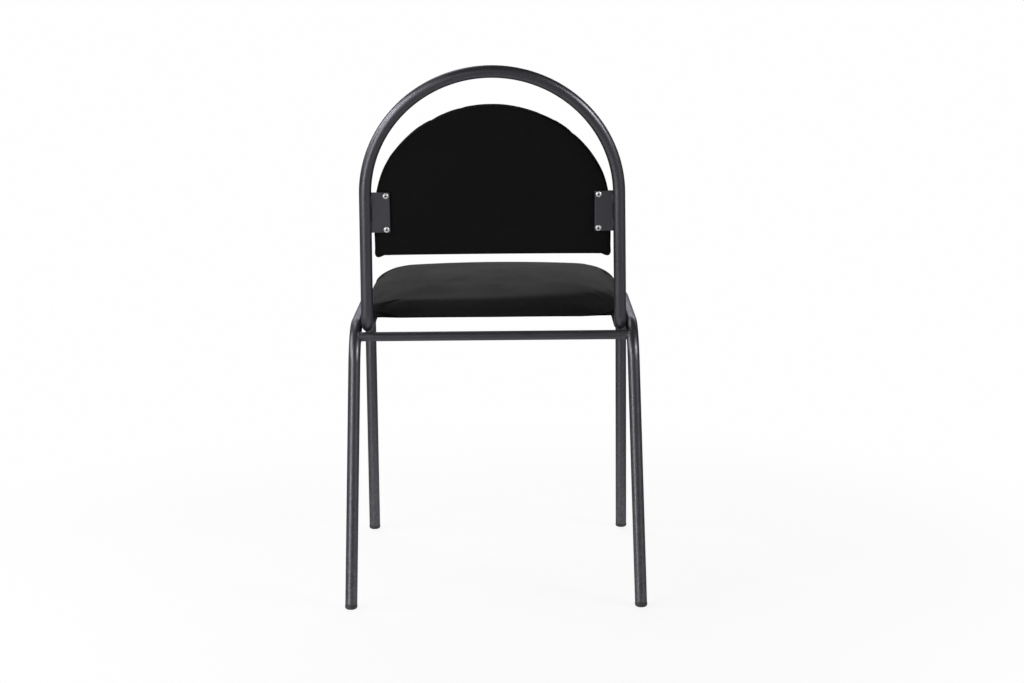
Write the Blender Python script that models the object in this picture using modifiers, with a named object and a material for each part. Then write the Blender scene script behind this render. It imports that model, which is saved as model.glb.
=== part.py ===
# Four-leg stacking visitor chair: two bent leg frames, a horseshoe back arch whose rails carry the seat,
# an upholstered back and seat, and plastic plugs in the tube ends.
# Metres, +Z up. The sitter faces -Y, and the origin is on the floor under the middle of the chair.

import math

import bmesh
import bpy
from mathutils import Matrix, Vector

# Tubes
TUBE_DIAMETER = 0.018
TUBE_WALL = 0.0015
BAR_DIAMETER = 0.014
BAR_WALL = 0.0012
FIT_GAP = 0.0003  # between pieces that touch

# Leg frames, along the centre lines
FOOT_BASE = 0.440  # rear foot to front foot
REAR_FOOT_SPAN = 0.432
FRONT_FOOT_SPAN = 0.422
RAIL_HEIGHT = 0.410
REAR_RAIL_SPAN = 0.4145
FRONT_RAIL_SPAN = 0.4185
REAR_LEG_RAKE = 0.076  # each leg's top stands this far inside its foot
FRONT_LEG_RAKE = 0.016
LEG_BEND_RADIUS = 0.063

# Plugs in the tube ends
FOOT_LIP = 0.0003  # foot beyond the tube's side
FOOT_HEAD_LENGTH = 0.006
RAIL_HEAD_LENGTH = 0.0025
PLUG_STEM_LENGTH = 0.015
PLUG_RIBS = 2
PLUG_RIB_DEPTH = 0.0008

# Back arch, along its centre line
CHAIR_HEIGHT = 0.800
ARCH_FORWARD = 0.082  # the arch's lower corner, ahead of the rear feet
ARCH_RADIUS = 0.1848
ARCH_LEAN = math.radians(11.5)
ARCH_BEND_RADIUS = 0.026
RAIL_OVERHANG = 0.015  # rail ends, ahead of the front crossbar

# Back cushion, measured up the lean
BACK_RISE = 0.113  # rail line to the lower edge
BACK_SIDE_GAP = 0.0028  # to the arch's inner side
HAND_GAP = 0.0413  # under the arch's round top
BACK_SIDE = 0.063  # straight part of each side
BACK_CORNER = 0.007
BACK_ROLL = 0.004
BACK_BOARD = 0.008
BACK_FOAM_EDGE = 0.0035
BACK_SHOULDER_REACH = 0.045
BACK_SHOULDER_RISE = 0.016
BACK_CROWN = 0.005
EAR_LENGTH = 0.016
EAR_DROP = 0.006
EAR_OUT = 0.001

# Seat cushion
SEAT_SETBACK = 0.027  # rear edge, ahead of the arch's lower corner
SEAT_OVERHANG = 0.0098  # each side, beyond the arch rail's centre line
SEAT_DEPTH = 0.382
SEAT_REAR_CORNER = 0.032
SEAT_FRONT_CORNER = 0.070
SEAT_REAR_BOW = 0.006
SEAT_FRONT_BOW = 0.028
SEAT_ROLL = 0.006
SEAT_LIP = 0.018  # cover drawn under the board
SEAT_BOARD = 0.010
SEAT_FOAM_EDGE = 0.0005
SEAT_SHOULDER_REACH = 0.110
SEAT_SHOULDER_RISE = 0.0312
SEAT_CROWN = 0.003
COVER_THICKNESS = 0.0012
BOARD_MARGIN = 0.002  # board edge inside the cover's lower roll

# Welded plates
PLATE_THICKNESS = 0.003
PLATE_CORNER = 0.002
BACK_NUT_EDGE = 0.0157  # back's side to the upper screw's axis
BACK_PLATE_HEIGHT = 0.0614
BACK_PLATE_RISE = 0.0674  # back's lower edge to the plate's middle
BACK_SCREW_EDGE = 0.0055  # plate's inner edge to the screw axis
BACK_SCREW_SPACING = 0.0515
SEAT_NUT_EDGE = 0.034  # seat's side to the screw axis
SEAT_PLATE_LENGTH = 0.036
SEAT_SCREW_EDGE = 0.010
REAR_PLATE_INSET = 0.061  # plate's middle, ahead of the seat's rear edge
FRONT_PLATE_INSET = 0.073  # plate's middle, behind the rail's end

# Fasteners
SCREW_DIAMETER = 0.005
SCREW_HEAD_DIAMETER = 0.0088
SCREW_HEAD_HEIGHT = 0.0028
SOCKET_WIDTH = 0.003
SOCKET_DEPTH = 0.0016
SCREW_END_MARGIN = 0.001  # screw tip to the board's far face
WASHER_DIAMETER = 0.014
WASHER_THICKNESS = 0.0012
NUT_FLANGE_DIAMETER = 0.0165
NUT_FLANGE_THICKNESS = 0.0012
NUT_BARREL_DIAMETER = 0.0072

# Facets
TUBE_SIDES = 16
BORE_SIDES = 10
BEND_STEPS = 8
ARCH_STEPS = 22
PLUG_STEPS = 14
FASTENER_STEPS = 12
DOME_STEPS = 3
CORNER_STEPS = 3
EDGE_STEPS = 4
SEAT_CORNER_STEPS = 5
BACK_TOP_STEPS = 9
ROLL_STEPS = 3
BACK_SHOULDER_STEPS = 4
SEAT_SHOULDER_STEPS = 7
CROWN_RINGS = 3
HEX_SIDES = 6
LEAST_CORNER = 0.25  # share of a corner's radius that a deep inset keeps
CUT_OVERRUN = 0.002
FLOOR_SIZE = 2.0
WELD_DISTANCE = 1e-6
AXIS_MERGE = 1e-5
LEAST_TURN = 1e-8  # square metres, from one outline edge to the next
SHARP_ANGLE = math.radians(35)

# Values that follow from those above
SIDES = {"left": 1, "right": -1}
TUBE_RADIUS = TUBE_DIAMETER / 2
BORE_RADIUS = TUBE_RADIUS - TUBE_WALL
FOOT_RADIUS = TUBE_RADIUS + FOOT_LIP
SCREW_RADIUS = SCREW_DIAMETER / 2
SEAT_FORWARD = ARCH_FORWARD + SEAT_SETBACK
REAR_REACH = FOOT_RADIUS / math.cos(math.atan2(REAR_LEG_RAKE, RAIL_HEIGHT))
MIDDLE = (SEAT_FORWARD + SEAT_DEPTH - REAR_REACH) / 2
SEAT_BASE = RAIL_HEIGHT + TUBE_RADIUS + FIT_GAP
BACK_BASE = PLATE_THICKNESS / 2 + FIT_GAP
BOARD_LIFT = COVER_THICKNESS + FIT_GAP
BACK_BOARD_TOP = BOARD_LIFT + BACK_BOARD
SEAT_BOARD_TOP = BOARD_LIFT + SEAT_BOARD

for old in list(bpy.data.objects):
    bpy.data.objects.remove(old, do_unlink=True)

PARTS = bpy.data.collections.new("visitor_chair")
CUTTERS = bpy.data.collections.new("cutters")
for group in (PARTS, CUTTERS):
    bpy.context.scene.collection.children.link(group)


def finish(name, colour, roughness, metallic=0.0):
    material = bpy.data.materials.new(name)
    material.use_nodes = True
    surface = material.node_tree.nodes["Principled BSDF"]
    surface.inputs["Base Color"].default_value = (*colour, 1)
    surface.inputs["Roughness"].default_value = roughness
    surface.inputs["Metallic"].default_value = metallic
    return material


PAINT = finish("grey_black_paint", (0.055, 0.055, 0.062), 0.38, 0.3)
LEATHERETTE = finish("black_leatherette", (0.016, 0.016, 0.016), 0.42)
FABRIC = finish("black_back_fabric", (0.007, 0.007, 0.007), 0.8)
LINING = finish("grey_lining", (0.03, 0.03, 0.03), 0.9)
PLASTIC = finish("black_plastic", (0.012, 0.012, 0.012), 0.5)
PLYWOOD = finish("plywood", (0.5, 0.34, 0.19), 0.65)
FOAM = finish("foam", (0.72, 0.66, 0.45), 0.9)
ZINC = finish("zinc_plate", (0.68, 0.68, 0.66), 0.3, 1.0)


def add_part(name, mesh, material, place=Matrix.Identity(4), parent=None):
    part = bpy.data.objects.new(name, mesh)
    part.data.materials.append(material)
    part.data.shade_smooth()
    part.data.set_sharp_from_angle(angle=SHARP_ANGLE)
    part.parent = parent
    part.matrix_basis = place
    PARTS.objects.link(part)
    return part


def add_cutter(name, mesh, place=Matrix.Identity(4), parent=None):
    cutter = bpy.data.objects.new(name, mesh)
    cutter.hide_render = True
    cutter.display_type = "WIRE"
    cutter.parent = parent
    cutter.matrix_basis = place
    CUTTERS.objects.link(cutter)
    return cutter


def cut(part, cutter):
    modifier = part.modifiers.new("cut_" + cutter.name, "BOOLEAN")
    modifier.operation = "DIFFERENCE"
    modifier.solver = "EXACT"
    modifier.object = cutter


def spot(x, forward, height):
    return Vector((x, MIDDLE - forward, height))


def clear_radius(radius, sides):
    """Radius of a faceted hole that clears a round piece by the fit gap."""
    return (radius + FIT_GAP) / math.cos(math.pi / sides)


# Meshes


def mesh_of_curve(curve):
    guide = bpy.data.objects.new("guide", curve)
    bpy.context.scene.collection.objects.link(guide)
    graph = bpy.context.evaluated_depsgraph_get()
    mesh = bpy.data.meshes.new_from_object(guide.evaluated_get(graph))
    bpy.data.objects.remove(guide)
    shape = bmesh.new()
    shape.from_mesh(mesh)
    bmesh.ops.remove_doubles(shape, verts=shape.verts, dist=WELD_DISTANCE)
    shape.to_mesh(mesh)
    shape.free()
    return mesh


def swept(path, radius, sides):
    curve = bpy.data.curves.new("sweep", "CURVE")
    curve.dimensions = "3D"
    curve.bevel_depth = radius
    curve.bevel_resolution = (sides - 4) // 2
    curve.use_fill_caps = True
    spline = curve.splines.new("POLY")
    spline.points.add(len(path) - 1)
    for point, place in zip(spline.points, path):
        point.co = (*place, 1)
    return mesh_of_curve(curve)


def turning_points(outline):
    """The outline without the points that lie along its straight edges."""
    before = outline[-1:] + outline[:-1]
    after = outline[1:] + outline[:1]
    kept = []
    for last, here, following in zip(before, outline, after):
        change = (Vector(here) - Vector(last)).cross(Vector(following) - Vector(here))
        if abs(change) > LEAST_TURN:
            kept.append(here)
    return kept


def flat(outline, thickness):
    """A plate from z = 0 up to its thickness."""
    corners = turning_points(outline)
    curve = bpy.data.curves.new("plate", "CURVE")
    curve.dimensions = "2D"
    curve.fill_mode = "BOTH"
    curve.extrude = thickness / 2
    spline = curve.splines.new("POLY")
    spline.use_cyclic_u = True
    spline.points.add(len(corners) - 1)
    for point, (x, y) in zip(spline.points, corners):
        point.co = (x, y, 0, 1)
    mesh = mesh_of_curve(curve)
    mesh.transform(Matrix.Translation((0, 0, thickness / 2)))
    return mesh


def profile_mesh(profile, closed=False):
    mesh = bpy.data.meshes.new("profile")
    edges = [(i, i + 1) for i in range(len(profile) - 1)]
    if closed:
        edges.append((len(profile) - 1, 0))
    mesh.from_pydata([(radius, 0, height) for radius, height in profile], edges, [])
    return mesh


def turn(part, steps):
    screw = part.modifiers.new("turn", "SCREW")
    screw.axis = "Z"
    screw.steps = screw.render_steps = steps
    screw.use_merge_vertices = True
    screw.merge_threshold = AXIS_MERGE
    screw.use_smooth_shade = True
    return part


def loft(rings, closed_start):
    """A skin over rings of points, which ends in a single point and may have a flat start."""
    shape = bmesh.new()
    rows = [[shape.verts.new(point) for point in ring] for ring in rings]
    count = len(rows[0])
    for lower, upper in zip(rows, rows[1:]):
        for i in range(count):
            after = (i + 1) % count
            if len(upper) == 1:
                shape.faces.new((lower[i], lower[after], upper[0]))
            else:
                shape.faces.new((lower[i], lower[after], upper[after], upper[i]))
    if closed_start:
        shape.faces.new(reversed(rows[0]))
    mesh = bpy.data.meshes.new("loft")
    shape.to_mesh(mesh)
    shape.free()
    return mesh


# Centre lines


def bend(before, corner, after, radius):
    """Centre of a bend, the arm to its start, its axis and its turn."""
    back = (before - corner).normalized()
    onward = (after - corner).normalized()
    half = back.angle(onward) / 2
    centre = corner + (back + onward).normalized() * radius / math.sin(half)
    arm = corner + back * radius / math.tan(half) - centre
    return centre, arm, onward.cross(back), math.pi - 2 * half


def bent_path(corners, radius):
    path = [corners[0]]
    for before, corner, after in zip(corners, corners[1:], corners[2:]):
        centre, arm, axis, angle = bend(before, corner, after, radius)
        for step in range(BEND_STEPS + 1):
            path.append(centre + Matrix.Rotation(angle * step / BEND_STEPS, 3, axis) @ arm)
    path.append(corners[-1])
    return path


def bend_middle(before, corner, after, radius):
    centre, arm, axis, angle = bend(before, corner, after, radius)
    return centre + Matrix.Rotation(angle / 2, 3, axis) @ arm


def lengthened(path, extra):
    start = path[0] + (path[0] - path[1]).normalized() * extra
    end = path[-1] + (path[-1] - path[-2]).normalized() * extra
    return [start, *path, end]


def hollow_tube(name, path, diameter, wall, material):
    tube = add_part(name, swept(path, diameter / 2, TUBE_SIDES), material)
    bore = swept(lengthened(path, CUT_OVERRUN), diameter / 2 - wall, BORE_SIDES)
    cut(tube, add_cutter(name + "_bore", bore))
    return tube


def tube_clearance(name, path):
    return add_cutter(name, swept(path, clear_radius(TUBE_RADIUS, TUBE_SIDES), TUBE_SIDES))


# Leg frames and crossbars


def leg_corners(side):
    return [
        spot(side * REAR_FOOT_SPAN / 2, 0, 0),
        spot(side * REAR_RAIL_SPAN / 2, REAR_LEG_RAKE, RAIL_HEIGHT),
        spot(side * FRONT_RAIL_SPAN / 2, FOOT_BASE - FRONT_LEG_RAKE, RAIL_HEIGHT),
        spot(side * FRONT_FOOT_SPAN / 2, FOOT_BASE, 0),
    ]


def add_plug(name, end, along, head, head_length):
    """A ribbed plug whose head closes a tube end: end is the middle of the tube's end face."""
    rib = BORE_RADIUS * math.cos(math.pi / BORE_SIDES) - FIT_GAP
    stem = rib - PLUG_RIB_DEPTH
    pitch = PLUG_STEM_LENGTH / (2 * PLUG_RIBS + 1)
    profile = [(0, PLUG_STEM_LENGTH), (stem, PLUG_STEM_LENGTH)]
    for number in range(PLUG_RIBS, 0, -1):
        low = (2 * number - 1) * pitch
        profile += [(rib, low + pitch), (rib, low + pitch / 2), (stem, low)]
    bottom = -FIT_GAP - head_length
    profile += [(stem, -FIT_GAP), (head, -FIT_GAP), (head, bottom), (0, bottom)]
    place = Matrix.Translation(end) @ along.to_track_quat("Z", "Y").to_matrix().to_4x4()
    return turn(add_part(name, profile_mesh(profile), PLASTIC, place), PLUG_STEPS)


def add_foot(name, floor_point, top, floor_cutter):
    """A plug that the floor cuts flat. Returns the middle of the tube's end face."""
    along = (top - floor_point).normalized()
    end = floor_point + along * (FOOT_HEAD_LENGTH + FIT_GAP)
    foot = add_plug(name, end, along, FOOT_RADIUS, FOOT_HEAD_LENGTH + FOOT_RADIUS)
    cut(foot, floor_cutter)
    return end


def add_leg_frames():
    """Both frames, their feet and the two crossbars that meet them at mid bend."""
    below = bmesh.new()
    bmesh.ops.create_cube(below, size=FLOOR_SIZE)
    floor_mesh = bpy.data.meshes.new("floor")
    below.to_mesh(floor_mesh)
    below.free()
    floor_cutter = add_cutter("floor_cut", floor_mesh, Matrix.Translation((0, 0, -FLOOR_SIZE / 2)))
    middles = {"rear": [], "front": []}
    clearances = []
    for name, side in SIDES.items():
        corners = leg_corners(side)
        rear_end = add_foot("foot_plug_rear_" + name, corners[0], corners[1], floor_cutter)
        front_end = add_foot("foot_plug_front_" + name, corners[3], corners[2], floor_cutter)
        path = bent_path([rear_end, corners[1], corners[2], front_end], LEG_BEND_RADIUS)
        hollow_tube("leg_frame_" + name, path, TUBE_DIAMETER, TUBE_WALL, PAINT)
        clearances.append(tube_clearance("leg_clearance_" + name, path))
        middles["rear"].append(bend_middle(*corners[:3], LEG_BEND_RADIUS))
        middles["front"].append(bend_middle(*corners[1:], LEG_BEND_RADIUS))
    for end, path in middles.items():
        bar = hollow_tube(end + "_crossbar", path, BAR_DIAMETER, BAR_WALL, PAINT)
        for clearance in clearances:
            cut(bar, clearance)
    return middles


# Back arch: its rails run beside the leg frames, and its plane is the back frame's local XY plane


def arch_rail_x(forward):
    run = FOOT_BASE - FRONT_LEG_RAKE - REAR_LEG_RAKE
    flare = (FRONT_RAIL_SPAN - REAR_RAIL_SPAN) / 2 * (forward - REAR_LEG_RAKE) / run
    return REAR_RAIL_SPAN / 2 + flare - TUBE_DIAMETER - FIT_GAP


def arch_touch():
    """Where a side of the arch runs into its round top, in the arch's plane, and the top's centre."""
    foot = Vector((arch_rail_x(ARCH_FORWARD), 0))
    top = (CHAIR_HEIGHT - TUBE_RADIUS - RAIL_HEIGHT) / math.cos(ARCH_LEAN)
    centre = Vector((0, top - ARCH_RADIUS))
    reach = (centre - foot).length
    heading = math.atan2(centre.y, -foot.x) - math.asin(ARCH_RADIUS / reach)
    length = math.sqrt(reach**2 - ARCH_RADIUS**2)
    return foot + Vector((math.cos(heading), math.sin(heading))) * length, centre


def arch_side_x(rise):
    """Half the arch's width along its centre line, up its straight side and then round its top."""
    touch, centre = arch_touch()
    if rise > touch.y:
        return math.sqrt(ARCH_RADIUS**2 - (rise - centre.y) ** 2)
    foot = arch_rail_x(ARCH_FORWARD)
    return foot + (touch.x - foot) * rise / touch.y


def add_arch(frame, front_bar_forward):
    """The arch and the plugs of its rails. Returns its clearance cutter and how far its rails run."""
    touch, centre = arch_touch()
    rail_end = front_bar_forward + RAIL_OVERHANG
    front = spot(arch_rail_x(rail_end), rail_end, RAIL_HEIGHT)
    corner = spot(arch_rail_x(ARCH_FORWARD), ARCH_FORWARD, RAIL_HEIGHT)
    half = bent_path([front, corner, frame @ touch.to_3d()], ARCH_BEND_RADIUS)
    start = math.atan2(touch.y - centre.y, touch.x)
    top = []
    for step in range(1, ARCH_STEPS):
        angle = start + (math.pi - 2 * start) * step / ARCH_STEPS
        point = centre + Vector((math.cos(angle), math.sin(angle))) * ARCH_RADIUS
        top.append(frame @ point.to_3d())
    other = [Vector((-point.x, point.y, point.z)) for point in reversed(half)]
    path = half + top + other
    hollow_tube("back_arch", path, TUBE_DIAMETER, TUBE_WALL, PAINT)
    for name, end, inner in (("left", path[0], path[1]), ("right", path[-1], path[-2])):
        along = (inner - end).normalized()
        add_plug("rail_plug_" + name, end, along, TUBE_RADIUS, RAIL_HEAD_LENGTH)
    return tube_clearance("arch_clearance", path), rail_end


# Fasteners: local +Z runs from a screw's head end outwards


def add_screw(name, length, place, parent=None):
    head = SCREW_HEAD_DIAMETER / 2
    profile = [(0, SCREW_HEAD_HEIGHT)]
    for step in range(1, DOME_STEPS + 1):
        angle = math.pi / 2 * step / DOME_STEPS
        profile.append((head * math.sin(angle), SCREW_HEAD_HEIGHT * math.cos(angle)))
    profile += [(SCREW_RADIUS, 0), (SCREW_RADIUS, -length), (0, -length)]
    screw = turn(add_part(name, profile_mesh(profile), ZINC, place, parent), FASTENER_STEPS)
    socket = bmesh.new()
    across = SOCKET_WIDTH / 2 / math.cos(math.pi / HEX_SIDES)
    sizes = {"radius1": across, "radius2": across, "depth": 2 * SOCKET_DEPTH}
    bmesh.ops.create_cone(socket, cap_ends=True, segments=HEX_SIDES, **sizes)
    mesh = bpy.data.meshes.new("socket")
    socket.to_mesh(mesh)
    socket.free()
    rise = Matrix.Translation((0, 0, SCREW_HEAD_HEIGHT))
    cut(screw, add_cutter(name + "_socket", mesh, place @ rise, parent))


def add_ring(name, outer, inner, height, place, parent=None):
    profile = [(inner, height), (outer, height), (outer, 0), (inner, 0)]
    turn(add_part(name, profile_mesh(profile, closed=True), ZINC, place, parent), FASTENER_STEPS)


def nut_profile(grow, length):
    """Outer side of a tee nut, flange on top: grow opens it up for the hole that takes it."""
    flange = NUT_FLANGE_DIAMETER / 2
    barrel = NUT_BARREL_DIAMETER / 2
    if grow:
        flange = clear_radius(flange, FASTENER_STEPS)
        barrel = clear_radius(barrel, FASTENER_STEPS)
    under = -NUT_FLANGE_THICKNESS - grow
    return [(flange, grow), (flange, under), (barrel, under), (barrel, -length - grow)]


def add_tee_nut(name, board, length, place, parent=None):
    """A nut let into the board from its cushion side, with its flange flush."""
    bore = clear_radius(SCREW_RADIUS, FASTENER_STEPS)
    profile = [(bore, 0), *nut_profile(0, length), (bore, -length)]
    turn(add_part(name, profile_mesh(profile, closed=True), ZINC, place, parent), FASTENER_STEPS)
    through = length + CUT_OVERRUN
    hole = [(0, FIT_GAP), *nut_profile(FIT_GAP, through), (0, -through - FIT_GAP)]
    cut(board, turn(add_cutter(name + "_hole", profile_mesh(hole), place, parent), FASTENER_STEPS))


def screw_hole(part, name, thickness, place, parent=None):
    """A clearance hole through a piece whose faces are at local z = 0 and z = thickness."""
    radius = clear_radius(SCREW_RADIUS, FASTENER_STEPS)
    top = thickness + CUT_OVERRUN
    profile = [(0, top), (radius, top), (radius, -CUT_OVERRUN), (0, -CUT_OVERRUN)]
    cut(part, turn(add_cutter(name, profile_mesh(profile), place, parent), FASTENER_STEPS))


# Outlines, counter-clockwise


def arc(x, y, radius, first, last, steps):
    angles = [math.radians(first + (last - first) * step / steps) for step in range(steps + 1)]
    return [(x + radius * math.cos(angle), y + radius * math.sin(angle)) for angle in angles]


def plate_outline(x0, x1, y0, y1):
    corners = ((x1, y0, -1, 1, -90), (x1, y1, -1, -1, 0), (x0, y1, 1, -1, 90), (x0, y0, 1, 1, 180))
    outline = []
    for x, y, inward, upward, first in corners:
        middle = (x + inward * PLATE_CORNER, y + upward * PLATE_CORNER)
        outline += arc(*middle, PLATE_CORNER, first, first + 90, CORNER_STEPS)
    return outline


def arch_plate_outline(inner, low, high):
    """A plate with rounded inner corners, whose outer edge follows the arch's centre line."""
    rises = [low + (high - low) * step / EDGE_STEPS for step in range(EDGE_STEPS + 1)]
    return [
        *[(arch_side_x(rise), rise) for rise in rises],
        *arc(inner + PLATE_CORNER, high - PLATE_CORNER, PLATE_CORNER, 90, 180, CORNER_STEPS),
        *arc(inner + PLATE_CORNER, low + PLATE_CORNER, PLATE_CORNER, 180, 270, CORNER_STEPS),
    ]


def between(start, end):
    """Points between two others, without either."""
    return [tuple(Vector(start).lerp(end, step / EDGE_STEPS)) for step in range(1, EDGE_STEPS)]


def inset_corner(radius, inset):
    return max(radius - inset, radius * LEAST_CORNER)


def both_sides(right):
    return right + [(-x, y) for x, y in reversed(right[1:-1])]


def back_size():
    """Half the back's width, and its height, as the arch leaves room for them."""
    _, centre = arch_touch()
    half = arch_side_x(BACK_RISE + BACK_SIDE) - TUBE_RADIUS - BACK_SIDE_GAP
    return half, centre.y + ARCH_RADIUS - TUBE_RADIUS - HAND_GAP - BACK_RISE


def back_half(rise):
    """Half the back's width at a height in the arch's plane."""
    half, height = back_size()
    above = max(0, rise - BACK_RISE - BACK_SIDE)
    return half * math.sqrt(1 - (above / (height - BACK_SIDE)) ** 2)


def seat_half():
    return arch_rail_x(SEAT_FORWARD + SEAT_DEPTH / 2) + SEAT_OVERHANG


def back_outline(inset, ear=0.0):
    """The back's D shape. The ear swells its two lower corners."""
    half, height = back_size()
    half -= inset
    corner = inset_corner(BACK_CORNER, inset)
    top = height - BACK_SIDE - inset
    lower = arc(half - corner, inset + corner, corner, -90, 0, CORNER_STEPS)
    angles = [math.pi / 2 * step / BACK_TOP_STEPS for step in range(BACK_TOP_STEPS + 1)]
    upper = [(half * math.cos(angle), BACK_SIDE + top * math.sin(angle)) for angle in angles]
    ear_start = (lower[0][0] - EAR_LENGTH / 2, inset)
    right = [
        (0, inset),
        *between((0, inset), ear_start),
        ear_start,
        *lower,
        *between(lower[-1], upper[0]),
        *upper,
    ]
    swollen = []
    for x, y in both_sides(right):
        near = max(0, 1 - (half - abs(x)) / EAR_LENGTH) * max(0, 1 - (y - inset) / EAR_LENGTH)
        swell = ear * near * near * (3 - 2 * near)
        swollen.append((x + math.copysign(EAR_OUT, x) * swell, y - EAR_DROP * swell))
    return swollen


def seat_outline(inset):
    """The seat's rounded square, bowed out at the rear (+Y) and front."""
    half = seat_half() - inset
    deep = (SEAT_DEPTH - SEAT_REAR_BOW - SEAT_FRONT_BOW) / 2 - inset
    rear = inset_corner(SEAT_REAR_CORNER, inset)
    front = inset_corner(SEAT_FRONT_CORNER, inset)
    lower = arc(half - front, front - deep, front, -90, 0, SEAT_CORNER_STEPS)
    upper = arc(half - rear, deep - rear, rear, 0, 90, SEAT_CORNER_STEPS)
    right = [
        (0, -deep),
        *between((0, -deep), lower[0]),
        *lower,
        *between(lower[-1], upper[0]),
        *upper,
        *between(upper[-1], (0, deep)),
        (0, deep),
    ]
    bowed = []
    for x, y in both_sides(right):
        bow = SEAT_REAR_BOW if y > 0 else SEAT_FRONT_BOW
        bowed.append((x, y + bow * (y / deep) * (1 - (x / half) ** 2)))
    return bowed


# Cushions: a profile holds (inset from the outline, height), from the cover's lip round to the top


def cushion_profile(lip, roll, side, reach, rise, steps):
    profile = [(roll + lip, 0), (roll, 0)]
    for step in range(1, ROLL_STEPS + 1):
        angle = math.pi / 2 * step / ROLL_STEPS
        profile.append((roll * (1 - math.sin(angle)), side * (1 - math.cos(angle))))
    for step in range(1, steps + 1):
        angle = math.pi / 2 * step / steps
        profile.append((reach * (1 - math.cos(angle)), side + rise * math.sin(angle)))
    return profile


def inner_profile(profile, thickness, floor):
    """The profile moved in by a thickness and kept above a floor."""
    moved = []
    for before, here, after in zip(profile, profile[1:], profile[2:] + profile[-1:]):
        along = (Vector(after) - Vector(before)).normalized()
        moved.append((here[0] + along.y * thickness, here[1] - along.x * thickness))
    above = [point for point in moved if point[1] > floor + thickness]
    return [(thickness, floor), *above]


def cushion_rings(outline, profile, crown):
    rings = [[(x, y, height) for x, y in outline(inset)] for inset, height in profile]
    rim = rings[-1]
    middle_y = sum(y for _, y, _ in rim) / len(rim)
    top = profile[-1][1]
    for number in range(CROWN_RINGS - 1, 0, -1):
        share = number / CROWN_RINGS
        height = top + crown * (1 - share**2)
        rings.append([(x * share, middle_y + (y - middle_y) * share, height) for x, y, _ in rim])
    rings.append([(0, middle_y, top + crown)])
    return rings


def add_cover(name, rings, material, place, parent=None):
    cover = add_part(name, loft(rings, False), material, place, parent)
    solid = cover.modifiers.new("thicken", "SOLIDIFY")
    solid.thickness = COVER_THICKNESS
    solid.offset = -1
    solid.use_even_offset = True


def add_foam(name, outline, profile, crown, board_top, place, parent=None):
    inner = inner_profile(profile, COVER_THICKNESS + FIT_GAP, board_top + FIT_GAP)
    add_part(name, loft(cushion_rings(outline, inner, crown), True), FOAM, place, parent)


def eared_outline(inset):
    return back_outline(inset, max(0, 1 - inset / BACK_SHOULDER_REACH))


def add_back(frame_empty, arch_clearance):
    lift = Matrix.Translation((0, BACK_RISE, BACK_BASE))
    shoulder = (BACK_SHOULDER_REACH, BACK_SHOULDER_RISE, BACK_SHOULDER_STEPS)
    profile = cushion_profile(BACK_ROLL, BACK_ROLL, BACK_BOARD_TOP + BACK_FOAM_EDGE, *shoulder)
    rings = cushion_rings(eared_outline, profile, BACK_CROWN)
    add_cover("back_cover_front", rings, FABRIC, lift, frame_empty)
    add_foam("back_foam", back_outline, profile, BACK_CROWN, BACK_BOARD_TOP, lift, frame_empty)
    rear_mesh = flat(back_outline(2 * BACK_ROLL + FIT_GAP), COVER_THICKNESS)
    rear = add_part("back_cover_rear", rear_mesh, FABRIC, lift, frame_empty)
    board_mesh = flat(back_outline(BACK_ROLL + BOARD_MARGIN), BACK_BOARD)
    board_place = lift @ Matrix.Translation((0, 0, BOARD_LIFT))
    board = add_part("back_board", board_mesh, PLYWOOD, board_place, frame_empty)
    for name, side in SIDES.items():
        add_back_plate(name, side, board, rear, frame_empty, arch_clearance)


def add_back_plate(name, side, board, rear, frame_empty, arch_clearance):
    """A plate welded inside the arch, and the two screws that hold the back to it."""
    middle = BACK_RISE + BACK_PLATE_RISE
    screw_x = back_half(middle + BACK_SCREW_SPACING / 2) - BACK_NUT_EDGE
    half = BACK_PLATE_HEIGHT / 2
    outline = arch_plate_outline(screw_x - BACK_SCREW_EDGE, middle - half, middle + half)
    outline = [(side * x, y) for x, y in outline]
    sunk = Matrix.Translation((0, 0, -PLATE_THICKNESS / 2))
    plate = add_part("back_bracket_" + name, flat(outline, PLATE_THICKNESS), PAINT, sunk, frame_empty)
    cut(plate, arch_clearance)
    rearward = Matrix.Rotation(math.pi, 4, "X")
    shank = PLATE_THICKNESS + 2 * FIT_GAP + BACK_BOARD_TOP - SCREW_END_MARGIN
    for level, step in (("upper", 1), ("lower", -1)):
        label = f"{name}_{level}"
        x = side * screw_x
        y = middle + step * BACK_SCREW_SPACING / 2
        head = Matrix.Translation((x, y, -PLATE_THICKNESS / 2 - FIT_GAP)) @ rearward
        add_screw("back_screw_" + label, shank, head, frame_empty)
        in_plate = Matrix.Translation((x, y, -PLATE_THICKNESS / 2))
        screw_hole(plate, "back_plate_hole_" + label, PLATE_THICKNESS, in_plate, frame_empty)
        in_cover = Matrix.Translation((x, y, BACK_BASE))
        screw_hole(rear, "back_cover_hole_" + label, COVER_THICKNESS, in_cover, frame_empty)
        nut = Matrix.Translation((x, y, BACK_BASE + BACK_BOARD_TOP))
        add_tee_nut("back_tee_nut_" + label, board, BACK_BOARD, nut, frame_empty)


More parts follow.
